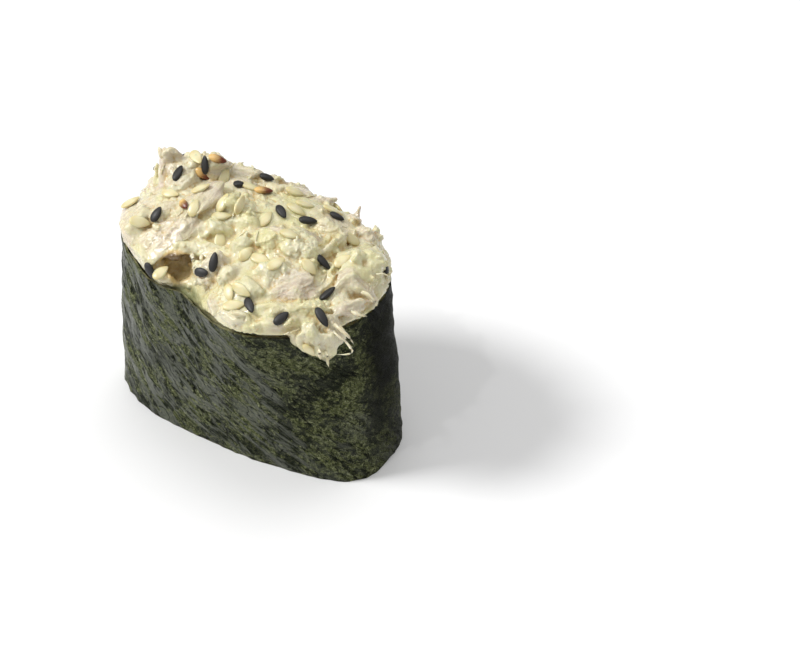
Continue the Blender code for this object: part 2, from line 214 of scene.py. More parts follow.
def dress(item: Item, paint: Paint, sharp: float | None = None) -> Item:
    """Gives a finished piece its material and smooth shading.

    Args:
        item: the piece.
        paint: its material.
        sharp: degrees past which an edge stays sharp, if any does.

    Returns:
        The piece.
    """
    item.data.materials.clear()
    item.data.materials.append(paint)
    pick([item])
    if sharp is None:
        bpy.ops.object.shade_smooth()
    else:
        bpy.ops.object.shade_smooth_by_angle(angle=math.radians(sharp))
    return item


def facing(lie: Vector, normal: Vector) -> Matrix:
    """Turn that lays +X along a direction and +Z along a normal."""
    return Matrix((lie, normal.cross(lie), normal)).transposed().to_4x4()


def corners_of(item: Item) -> np.ndarray:
    """Vertex positions of a mesh as rows.

    Args:
        item: the mesh object.

    Returns:
        An array with a row of x, y, z for each vertex.
    """
    flat = np.empty(len(item.data.vertices) * 3, np.float64)
    item.data.vertices.foreach_get("co", flat)
    return flat.reshape(-1, 3)


def move_corners(item: Item, places: np.ndarray) -> None:
    """Writes new vertex positions, a row for each, to a mesh."""
    item.data.vertices.foreach_set("co", np.ascontiguousarray(places, np.float64).ravel())
    item.data.update()


def normals_of(item: Item) -> np.ndarray:
    """Vertex normals of a mesh as rows.

    Args:
        item: the mesh object.

    Returns:
        An array with a row of x, y, z for each vertex.
    """
    flat = np.empty(len(item.data.vertices) * 3, np.float32)
    item.data.vertex_normals.foreach_get("vector", flat)
    return flat.reshape(-1, 3).astype(np.float64)


def store(item: Item, name: str, values: np.ndarray) -> None:
    """Stores a number, or a row of three, with each vertex for the material to read.

    Args:
        item: the mesh object.
        name: the attribute's name.
        values: one value or one row for each vertex.
    """
    kind, key = ("FLOAT", "value") if values.ndim == 1 else ("FLOAT_VECTOR", "vector")
    layer = item.data.attributes.new(name, kind, "POINT")
    layer.data.foreach_set(key, np.ascontiguousarray(values, np.float32).ravel())


def neighbour_mean(item: Item, values: np.ndarray, rounds: int) -> np.ndarray:
    """Averages values over each vertex's neighbours, several times over.

    Args:
        item: the mesh object.
        values: a row for each vertex.
        rounds: how many times to average.

    Returns:
        The averaged rows.
    """
    ends = np.empty(len(item.data.edges) * 2, np.int64)
    item.data.edges.foreach_get("vertices", ends)
    left, right = ends.reshape(-1, 2).T
    count = len(values)
    degree = np.bincount(left, minlength=count) + np.bincount(right, minlength=count)
    degree = np.maximum(degree, 1)[:, None]
    for _ in range(rounds):
        total = [
            np.bincount(left, column[right], count) + np.bincount(right, column[left], count)
            for column in values.T
        ]
        total = np.stack(total, axis=1)
        values = 0.5 * values + 0.5 * total / degree
    return values


def noise_rows(places: np.ndarray, wave: float, seed: float) -> np.ndarray:
    """Noise from about -1 to 1 at each place. The wave is its size, the seed picks a pattern."""
    return np.array([noise.noise(Vector(row)) for row in places / wave + seed])


def crumb_rows(places: np.ndarray, wave: float, seed: float) -> np.ndarray:
    """Crumbs packed side by side: 1 on top of each and 0 in the creases between them.

    Args:
        places: a row of x, y, z for each place.
        wave: distance between crumbs.
        seed: offset that picks another pattern.

    Returns:
        One value for each place.
    """
    values = np.empty(len(places))
    for index, row in enumerate(places / wave + seed):
        near = noise.voronoi(Vector(row))[0]
        values[index] = near[1] - near[0]
    values = np.clip(values * 1.7, 0.0, 1.0)
    return values * (2.0 - values)


# ---- outline of the wrap -----------------------------------------------------------------------


@dataclass(frozen=True)
class Bump:
    """A smooth swell at one place of the outline."""

    degrees: float
    offset: float
    spread: float

    def at(self, angle: float) -> float:
        """Height in metres of the swell at an angle in radians."""
        apart = (angle - math.radians(self.degrees) + math.pi) % math.tau - math.pi
        return self.offset * math.exp(-((apart / math.radians(self.spread)) ** 2))


@dataclass(frozen=True)
class Outline:
    """The rounded oblong that the nori follows, from where it stands up to its rim."""

    base_length: float = 49.4 * MM
    base_width: float = 24.8 * MM
    rim_length: float = 45.0 * MM
    rim_width: float = 33.0 * MM
    base_squareness: float = 2.6
    rim_squareness: float = 2.2
    rim_shift: float = -0.9 * MM
    height: float = 30.0 * MM
    rim_slope: float = 0.012
    rim_wave: float = 0.4 * MM
    wave_length: float = 16.0 * MM
    rim_pushes: tuple[Bump, ...] = (
        Bump(-66, 1.3 * MM, 17),
        Bump(-99, -2.4 * MM, 12),
        Bump(-128, -1.9 * MM, 21),
    )
    base_pushes: tuple[Bump, ...] = (Bump(-28, 1.3 * MM, 22),)
    rim_lifts: tuple[Bump, ...] = (Bump(-162, 0.9 * MM, 22),)

    def at(self, angle: float, share: float, out: float = 0.0) -> Vector:
        """Point of the outline.

        Args:
            angle: angle in radians, 0 at +X.
            share: height as a share of the wrap's height.
            out: distance to move outwards.

        Returns:
            The plan point x, y.
        """
        share = min(1.15, max(0.0, share))
        half_length = mix(self.base_length, self.rim_length, share) / 2.0
        half_width = mix(self.base_width, self.rim_width, share) / 2.0
        power = mix(self.base_squareness, self.rim_squareness, share)
        cosine, sine = math.cos(angle), math.sin(angle)
        along = math.copysign(abs(cosine) ** (2.0 / power), cosine)
        across = math.copysign(abs(sine) ** (2.0 / power), sine)
        normal = Vector(
            (
                math.copysign(abs(along) ** (power - 1.0), along) / half_length,
                math.copysign(abs(across) ** (power - 1.0), across) / half_width,
            )
        ).normalized()
        out += sum(bump.at(angle) for bump in self.rim_pushes) * share * share
        out += sum(bump.at(angle) for bump in self.base_pushes) * max(0.0, 1.0 - share) ** 2
        middle = Vector((0.0, self.rim_shift * share))
        return middle + Vector((half_length * along, half_width * across)) + normal * out

    def angle_to(self, x: float, y: float) -> float:
        """Angle whose outline point lies in the direction of a plan point.

        Args:
            x: place along the sushi.
            y: place across it.

        Returns:
            The angle in radians.
        """
        power = self.rim_squareness / 2.0
        along = abs(2.0 * x / self.rim_length) ** power
        across = abs(2.0 * (y - self.rim_shift) / self.rim_width) ** power
        return math.atan2(math.copysign(across, y - self.rim_shift), math.copysign(along, x))

    def tucked(self, place: Vector, inset: float, above: float = 0.1 * MM) -> Vector:
        """Brings a point that is below the rim and outside the wrap back inside it.

        Args:
            place: the point.
            inset: least distance inside the wrap's outline.
            above: height over the rim up to which this is done.

        Returns:
            The point, moved in plan if it has to be.
        """
        angle = self.angle_to(place.x, place.y)
        if place.z > self.rim(angle) + above:
            return place
        edge = self.at(angle, place.z / self.height, -inset)
        middle = Vector((0.0, self.rim_shift))
        flat = Vector((place.x, place.y))
        if (flat - middle).length <= (edge - middle).length:
            return place
        return Vector((edge.x, edge.y, place.z))

    def held(self, place: Vector, out: float, slope: float) -> Vector:
        """Brings a point over the rim back to a steep slope that rises from the rim.

        Args:
            place: the point.
            out: distance from the outline to the slope's foot.
            slope: how far the slope leans out for each unit of its height.

        Returns:
            The point, moved in plan if it has to be.
        """
        angle = self.angle_to(place.x, place.y)
        above = place.z - self.rim(angle)
        middle = Vector((0.0, self.rim_shift))
        flat = Vector((place.x, place.y)) - middle
        reach = (self.at(angle, 1.0, out + slope * above) - middle).length
        if above <= 0.0 or flat.length <= reach:
            return place
        flat = middle + flat.normalized() * reach
        return Vector((flat.x, flat.y, place.z))

    def rim(self, angle: float) -> float:
        """Height in metres of the nori's upper edge at an angle.

        Args:
            angle: angle in radians.

        Returns:
            The height.
        """
        place = self.at(angle, 1.0).to_3d()
        wave = noise.noise(place / self.wave_length)
        lift = sum(bump.at(angle) for bump in self.rim_lifts)
        return self.height - self.rim_slope * place.x + self.rim_wave * wave + lift

    def even_angles(self, samples: int = 720) -> tuple[np.ndarray, np.ndarray]:
        """Angles and the share of the mid-height outline passed at each, from the back.

        Args:
            samples: number of steps round.

        Returns:
            The angles and the shares passed.
        """
        angles = math.pi / 2.0 + math.tau * np.arange(samples + 1) / samples
        points = np.array([self.at(angle, 0.5) for angle in angles])
        steps = np.linalg.norm(np.diff(points, axis=0), axis=1)
        passed = np.concatenate([[0.0], np.cumsum(steps)])
        return angles, passed / passed[-1]


# ---- node groups and finishes ------------------------------------------------------------------


class Nodes:
    """A node tree with short ways to add nodes to it and to link them."""

    def __init__(self, tree: Tree) -> None:
        """Keeps the tree."""
        self.tree = tree

    def feed(self, socket: Plug, value: object) -> None:
        """Links an input to its source, or gives it its value.

        Args:
            socket: the input.
            value: source socket, number, vector or colour.
        """
        if isinstance(value, Plug):
            self.tree.links.new(value, socket)
        else:
            socket.default_value = (*value[:3], 1.0) if socket.type == "RGBA" else value

    def add(
        self, kind: str, settings: dict[str, object] | None = None, **values: object
    ) -> bpy.types.Node:
        """Adds a node.

        Args:
            kind: the node's type name.
            settings: properties of the node.
            **values: values or source sockets by input name, with _ for a space.

        Returns:
            The node.
        """
        node = self.tree.nodes.new(kind)
        for key, value in (settings or {}).items():
            setattr(node, key, value)
        for label, value in values.items():
            self.feed(node.inputs[label.replace("_", " ")], value)
        return node

    def math(self, operation: str, first: object, second: object = 0.0) -> Plug:
        """Adds a math node.

        Args:
            operation: the operation's name.
            first: number or socket.
            second: number or socket.

        Returns:
            The result.
        """
        node = self.add("ShaderNodeMath", {"operation": operation})
        self.feed(node.inputs[0], first)
        self.feed(node.inputs[1], second)
        return node.outputs[0]

    def mix(self, share: object, first: object, second: object) -> Plug:
        """Adds a colour mix node.

        Args:
            share: number or socket.
            first: colour or socket.
            second: colour or socket.

        Returns:
            The colour.
        """
        node = self.add("ShaderNodeMix", {"data_type": "RGBA"})
        for index, value in ((0, share), (6, first), (7, second)):
            self.feed(node.inputs[index], value)
        return node.outputs[2]

    def rise(
        self, value: Plug, low: float, high: float, first: float = 0.0, last: float = 1.0
    ) -> Plug:
        """Adds a clamped smooth range node.

        Args:
            value: the input.
            low: input that gives the first output.
            high: input that gives the last output.
            first: first output.
            last: last output.

        Returns:
            The result.
        """
        settings = {"interpolation_type": "SMOOTHSTEP"}
        ends = {"From_Min": low, "From_Max": high, "To_Min": first, "To_Max": last}
        return self.add("ShaderNodeMapRange", settings, Value=value, **ends).outputs["Result"]


class Socket(Enum):
    """Kinds of socket on a node group."""

    NUMBER = "NodeSocketFloat"
    VECTOR = "NodeSocketVector"


class MaskGroup(Nodes):
    """A node group that makes a mask from a place."""

    def __init__(self, name: str, **inputs: object) -> None:
        """Makes the group's sockets.

        Args:
            name: the group's name.
            **inputs: default of each input after the place.
        """
        super().__init__(bpy.data.node_groups.new(name, "ShaderNodeTree"))
        add_socket = self.tree.interface.new_socket
        for label, value in {"Vector": ZERO, **inputs}.items():
            kind = Socket.VECTOR if isinstance(value, tuple) else Socket.NUMBER
            socket = add_socket(label, in_out="INPUT", socket_type=kind.value)
            socket.default_value = value
        add_socket("Mask", in_out="OUTPUT", socket_type=Socket.NUMBER.value)
        self.source = self.tree.nodes.new("NodeGroupInput")
        self.sink = self.tree.nodes.new("NodeGroupOutput")

    def drawn_out(self, detail: object) -> Plug:
        """Adds noise that is drawn out along one direction.

        Args:
            detail: number or socket.

        Returns:
            The noise, from 0 to 1.
        """
        inputs = self.source.outputs
        turned = self.add(
            "ShaderNodeMapping",
            {"vector_type": "TEXTURE"},
            Vector=inputs["Vector"],
            Rotation=inputs["Turn"],
            Scale=inputs["Length"],
        )
        drawn = {"Scale": 1.0, "Detail": detail, "Distortion": inputs["Bend"]}
        return self.add("ShaderNodeTexNoise", Vector=turned.outputs[0], **drawn).outputs[0]

    def done(self, mask: Plug) -> Tree:
        """Links the mask to the group's output, and gives the group."""
        self.feed(self.sink.inputs["Mask"], mask)
        return self.tree


class Effects:
    """Shader groups that several finishes share. Each puts out a mask from 0 to 1."""

    def __init__(self) -> None:
        """Makes the groups."""
        self.grain = self._grain()
        fibre = MaskGroup("fibre", Length=(1.0, 1.0, 1.0), Turn=ZERO, Detail=4.0, Bend=0.6)
        self.fibre = fibre.done(fibre.drawn_out(fibre.source.outputs["Detail"]))
        self.thread = self._thread()

    @staticmethod
    def _grain() -> Tree:
        """Noise of two sizes.

        Returns:
            The group.
        """
        group = MaskGroup("grain", Coarse=300.0, Fine=1500.0, Share=0.5)
        inputs = group.source.outputs
        coarse, fine = (
            group.add(
                "ShaderNodeTexNoise", Vector=inputs["Vector"], Scale=inputs[name], Detail=3.0
            ).outputs[0]
            for name in ("Coarse", "Fine")
        )
        spread = group.math("MULTIPLY", group.math("SUBTRACT", fine, coarse), inputs["Share"])
        return group.done(group.math("ADD", coarse, spread))

    @staticmethod
    def _thread() -> Tree:
        """Thin winding lines, drawn out along one direction.

        Returns:
            The group, whose mask is 1 on the lines.
        """
        group = MaskGroup("thread", Length=(1.0, 1.0, 1.0), Turn=ZERO, Width=0.03, Bend=1.0)
        away = group.math("ABSOLUTE", group.math("SUBTRACT", group.drawn_out(2.0), 0.5))
        share = group.math("DIVIDE", away, group.source.outputs["Width"])
        return group.done(group.math("SUBTRACT", 1.0, group.math("MINIMUM", share, 1.0)))


class Material(Nodes):
    """A material with its Principled shader."""

    def __init__(self, name: str) -> None:
        """Makes the material.

        Args:
            name: its name.
        """
        self.data = bpy.data.materials.new(name)
        self.data.use_nodes = True
        super().__init__(self.data.node_tree)
        self.shader = self.tree.nodes["Principled BSDF"]

    def set(self, **values: object) -> None:
        """Sets or links inputs of the Principled shader, by name with _ for a space."""
        for label, value in values.items():
            self.feed(self.shader.inputs[label.replace("_", " ")], value)

    def place(self) -> Plug:
        """Object coordinates."""
        return self.add("ShaderNodeTexCoord").outputs["Object"]

    def attribute(self, name: str, vector: bool = False) -> Plug:
        """A number, or a row of three, that is stored with the vertices."""
        node = self.add("ShaderNodeAttribute", {"attribute_name": name})
        return node.outputs["Vector" if vector else "Fac"]

    def group(self, tree: Tree, **values: object) -> Plug:
        """Adds a shared group with its inputs by name, and gives its output."""
        return self.add("ShaderNodeGroup", {"node_tree": tree}, **values).outputs[0]

    def bump(
        self, height: Plug, distance: float, strength: float = 1.0, below: Plug | None = None
    ) -> Plug:
        """Adds a bump.

        Args:
            height: mask that gives the relief.
            distance: depth of the relief in metres.
            strength: share of it that shows.
            below: normal that it is laid over.

        Returns:
            The normal.
        """
        more = {} if below is None else {"Normal": below}
        amount = {"Height": height, "Distance": distance, "Strength": strength}
        return self.add("ShaderNodeBump", **amount, **more).outputs[0]


@dataclass(frozen=True)
class NoriFinish:
    """Toasted seaweed sheet: near-black green with paler fibres that partly stand in for
    highlights, a dull sheen from its coat, a grey sheen painted into its colour on the left and
    the front, and shade painted over its right end.
    """

    dark: Colour = (0.012, 0.016, 0.008)
    olive: Colour = (0.074, 0.086, 0.034)
    moss: Colour = (0.150, 0.168, 0.060)
    # paler fibres, bright enough to stand in part for highlights
    pale: Colour = (0.380, 0.400, 0.220)
    # grey sheen painted into the colour
    painted_sheen: Colour = (0.112, 0.121, 0.090)
    # near-black of pits and cracks, also painted over the right end as shade
    pit_and_painted_shade: Colour = (0.0020, 0.0028, 0.0014)
    smear: Colour = linear(176, 172, 128)

    def build(self, effects: Effects) -> Paint:
        """Makes the material.

        Args:
            effects: the shared groups.

        Returns:
            The material.
        """
        made = Material("nori")
        sheet = made.attribute("sheet", vector=True)
        blotch = made.group(effects.grain, Vector=sheet, Coarse=0.18, Fine=0.9, Share=0.45)
        speck = made.group(effects.grain, Vector=sheet, Coarse=1.6, Fine=4.6, Share=0.5)
        wrinkle, folds = (
            made.group(
                effects.fibre, Vector=sheet, Length=drawn, Turn=turn, Detail=detail, Bend=bend
            )
            for drawn, turn, detail, bend in (
                ((4.2, 1.0, 1.0), (0.0, 0.0, -0.68), 8.0, 1.6),
                ((15.0, 3.4, 1.0), (0.0, 0.0, -0.72), 3.0, 1.2),
            )
        )
        crack, strand, cross = (
            made.group(
                effects.thread, Vector=sheet, Length=drawn, Turn=turn, Width=width, Bend=bend
            )
            for drawn, turn, width, bend in (
                ((7.0, 2.2, 1.0), (0.0, 0.0, -0.75), 0.024, 1.6),
                ((2.4, 1.1, 1.0), (0.0, 0.0, -0.3), 0.035, 2.6),
                ((1.0, 2.2, 1.0), (0.0, 0.0, 0.4), 0.035, 2.6),
            )
        )
        colour = made.mix(made.rise(blotch, 0.45, 0.57), self.dark, self.olive)
        moss = made.math(
            "MULTIPLY", made.rise(speck, 0.48, 0.60), made.rise(blotch, 0.44, 0.54, 0.1, 1.0)
        )
        colour = made.mix(moss, colour, self.moss)
        net = made.math("MAXIMUM", strand, cross)
        # Paler fibres along a net of threads: partly the sheet's own fibres, partly painted
        # highlight.
        pale_fibres_and_painted_highlights = made.math(
            "MULTIPLY", made.rise(speck, 0.44, 0.56), made.rise(blotch, 0.42, 0.54, 0.2, 1.0)
        )
        pale_fibres_and_painted_highlights = made.math("MULTIPLY", net, pale_fibres_and_painted_highlights)
        colour = made.mix(pale_fibres_and_painted_highlights, colour, self.pale)
        # Grey sheen painted into the colour along the wrinkles and folds, inside the painted sheen
        # zone; the same mask also raises the coat.
        painted_sheen = made.rise(made.math("ADD", wrinkle, folds), 0.90, 1.08)
        painted_sheen = made.math("MULTIPLY", painted_sheen, made.attribute("painted_sheen_zone"))
        colour = made.mix(made.math("MULTIPLY", painted_sheen, 0.85), colour, self.painted_sheen)
        # Pits, cracks and the shade painted over the right end all take the near-black colour.
        pits_and_painted_shade = made.math("MAXIMUM", made.rise(speck, 0.36, 0.42, 0.9, 0.0), crack)
        pits_and_painted_shade = made.math("MAXIMUM", pits_and_painted_shade, made.attribute("shade"))
        colour = made.mix(pits_and_painted_shade, colour, self.pit_and_painted_shade)
        colour = made.mix(made.attribute("smear"), colour, self.smear)
        relief = None
        for height, depth in (
            (folds, 0.0012),
            (wrinkle, 0.00036),
            (crack, -0.00012),
            (net, 0.00010),
            (speck, 0.00012),
        ):
            relief = made.bump(height, depth, below=relief)
        sheen = made.math("MULTIPLY", painted_sheen, 0.5)
        sheen = made.math("ADD", sheen, made.math("MULTIPLY", pale_fibres_and_painted_highlights, 0.3))
        sheen = made.math("SUBTRACT", sheen, made.math("MULTIPLY", pits_and_painted_shade, 0.5))
        made.set(
            Base_Color=colour,
            Roughness=made.rise(blotch, 0.35, 0.65, 0.42, 0.55),
            Specular_IOR_Level=0.04,
            Coat_Weight=made.math("MAXIMUM", sheen, 0.0),
            Coat_Roughness=0.22,
            Normal=relief,
        )
        return made.data


@dataclass(frozen=True)
class RiceFinish:
    """Moist cooked rice."""

    colour: Colour = linear(236, 232, 218)

    def build(self, effects: Effects) -> Paint:
        """Makes the material.

        Args:
            effects: the shared groups.

        Returns:
            The material.
        """
        made = Material("rice")
        grain = made.group(effects.grain, Vector=made.place(), Coarse=180.0, Fine=900.0, Share=0.4)
        made.set(
            Base_Color=self.colour,
            Roughness=made.rise(grain, 0.3, 0.7, 0.28, 0.45),
            Subsurface_Weight=0.7,
            Subsurface_Radius=(1.0, 0.85, 0.6),
            Subsurface_Scale=0.0012,
            Normal=made.bump(grain, 0.0001),
        )
        return made.data


@dataclass(frozen=True)
class MayoFinish:
    """Tuna flakes in mayonnaise: cream where coated, pinkish beige where a flake shows, with shade
    painted into the crevices and the hollow, warm tan in shallow ones and dark brown in the
    deepest.
    """

    cream: Colour = linear(217, 211, 160)
    pale: Colour = linear(225, 220, 187)
    tuna: Colour = linear(223, 212, 187)
    rose: Colour = linear(206, 189, 168)
    shaded: Colour = linear(208, 180, 122)
    # dark brown painted as shade in the deepest crevices and under the lip of the hollow
    deep_shade: Colour = linear(92, 66, 30)
    smear: Colour = linear(158, 160, 116)

    def build(self, effects: Effects) -> Paint:
        """Makes the material.

        Args:
            effects: the shared groups.

        Returns:
            The material.
        """
        made = Material("tuna_mayonnaise")
        place = made.place()
        fibre_place = made.attribute("fibre", vector=True)
        flake = made.attribute("flake")
        painted_cavity_shade = made.attribute("painted_cavity_shade")
        patches = made.group(effects.grain, Vector=place, Coarse=170.0, Fine=800.0, Share=0.35)
        curd = made.group(effects.grain, Vector=place, Coarse=1500.0, Fine=4200.0, Share=0.5)
        strands = made.group(
            effects.fibre, Vector=fibre_place, Length=(0.0050, 0.00050, 0.00050), Bend=0.8
        )
        coated = made.mix(made.rise(patches, 0.4, 0.62), self.cream, self.pale)
        meat = made.mix(made.rise(strands, 0.36, 0.60), self.rose, self.tuna)
        colour = made.mix(flake, coated, meat)
        colour = made.mix(made.attribute("smear"), colour, self.smear)
        # Painted shade: crevices turn warm tan, the deepest ones dark brown.
        near = made.rise(painted_cavity_shade, 0.0, 0.55)
        far = made.rise(painted_cavity_shade, 0.55, 1.0)
        colour = made.mix(near, colour, self.shaded)
        colour = made.mix(far, colour, self.deep_shade)
        relief = made.bump(curd, 0.00026, 1.0)
        grain = made.math("MULTIPLY", strands, flake)
        relief = made.bump(grain, 0.00020, 0.9, below=relief)
        made.set(
            Base_Color=colour,
            Roughness=made.rise(curd, 0.35, 0.65, 0.30, 0.14),
            Specular_IOR_Level=0.62,
            Subsurface_Weight=0.3,
            Subsurface_Radius=(1.0, 0.72, 0.42),
            Subsurface_Scale=0.0006,
            Coat_Weight=0.35,
            Coat_Roughness=0.10,
            Normal=relief,
        )
        return made.data


class Toast(Enum):
    """Kinds of sesame seed."""

    WHITE = "white"
    BLACK = "black"
    TOASTED = "toasted"


@dataclass(frozen=True)
class SeedFinish:
    """Hull of a sesame seed."""

    toast: Toast
    colour: Colour
    tip: Colour
    roughness: float
    through: float

    def build(self, effects: Effects) -> Paint:
        """Makes the material.

        Args:
            effects: the shared groups.

        Returns:
            The material.
        """
        made = Material(f"sesame_{self.toast.value}")
        place = made.place()
        along = made.attribute("end" if self.toast is Toast.TOASTED else "along")
        grain = made.group(effects.grain, Vector=place, Coarse=900.0, Fine=5200.0, Share=0.5)
        shade = made.math("ADD", along, made.math("MULTIPLY", grain, 0.5))
        colour = made.mix(made.rise(shade, 0.40, 1.05), self.colour, self.tip)
        made.set(
            Base_Color=colour,
            Roughness=self.roughness,
            Subsurface_Weight=self.through,
            Subsurface_Radius=(1.0, 0.7, 0.4),
            Subsurface_Scale=0.0007,
            Coat_Weight=0.1,
            Coat_Roughness=0.3,
            Normal=made.bump(grain, 0.00008),
        )
        return made.data


# ---- the camera's place ------------------------------------------------------------------------


@dataclass(frozen=True)
class Viewpoint:
    """Where the picture is taken from. Places on the heap are named as seen from here."""

    azimuth: float = 33.0
    elevation: float = 38.0
    distance: float = 500.0 * MM
    aim: tuple[float, float, float] = (0.0, 0.0, 15.0 * MM)
    scale: float = 6.2 / MM
    frame_width: int = 800
    off_centre: tuple[float, float] = (-140.0, -3.5)
    sensor: float = 36.0

    def axes(self) -> tuple[Vector, Vector, Vector]:
        """Directions of the picture.

        Returns:
            Right, up, and back towards the camera.
        """
        turn, lift = math.radians(self.azimuth), math.radians(self.elevation)
        back = Vector(
            (math.sin(turn) * math.cos(lift), -math.cos(turn) * math.cos(lift), math.sin(lift))
        )
        right = Vector((math.cos(turn), math.sin(turn), 0.0))
        return right, back.cross(right), back

    def eye(self) -> Vector:
        """Place of the camera.

        Returns:
            The point.
        """
        right, up, back = self.axes()
        x, y = (offset / self.scale for offset in self.off_centre)
        return Vector(self.aim) - right * x - up * y + back * self.distance

    def ray(self, right_mm: float, up_mm: float) -> tuple[Vector, Vector]:
        """Line of sight through a place in the picture.

        Args:
            right_mm: millimetres to the right of the aim, at its depth.
            up_mm: millimetres above it.

        Returns:
            The eye and the direction.
        """
        right, up, _ = self.axes()
        goal = Vector(self.aim) + right * right_mm * MM + up * up_mm * MM
        return self.eye(), (goal - self.eye()).normalized()

    def build(self) -> Item:
        """Makes the camera.

        Returns:
            The camera object.
        """
        right, _, back = self.axes()
        data = bpy.data.cameras.new("camera")
        camera = bpy.data.objects.new("camera", data)
        bpy.context.scene.collection.objects.link(camera)
        camera.matrix_world = Matrix.Translation(self.eye()) @ facing(right, back)
        data.sensor_width = self.sensor
        data.lens = self.sensor * self.scale * self.distance / self.frame_width
        data.clip_start = 0.01
        bpy.context.scene.camera = camera
        return camera


# ---- the pieces --------------------------------------------------------------------------------


@dataclass(frozen=True)
class NoriSize:
    """Sizes of the nori strip."""

    thickness: float = 0.34 * MM
    lap: float = 0.13
    ramp: float = 0.10
    lap_out: float = 0.5 * MM + 0.3 * MM
    columns: int = 400
    rows: int = 78
    ripple_depth: float = 0.32 * MM
    ripple_slope: float = 0.55
    ripple_width: float = 4.2 * MM
    ripple_length: float = 16.0 * MM
    crease_depth: float = 0.19 * MM
    crease_slant: tuple[float, float] = (0.77, 0.64)
    crease_wave: tuple[float, float] = (0.0021, 0.0085)
    crease_edge: float = 2.2
    swell_wave: tuple[float, float] = (0.0011, 0.0042)
    swell_share: float = 0.45
    pit_depth: float = 0.05 * MM
    pit_wave: float = 0.0009
    ragged: float = 0.16 * MM
    room: float = 0.2 * MM


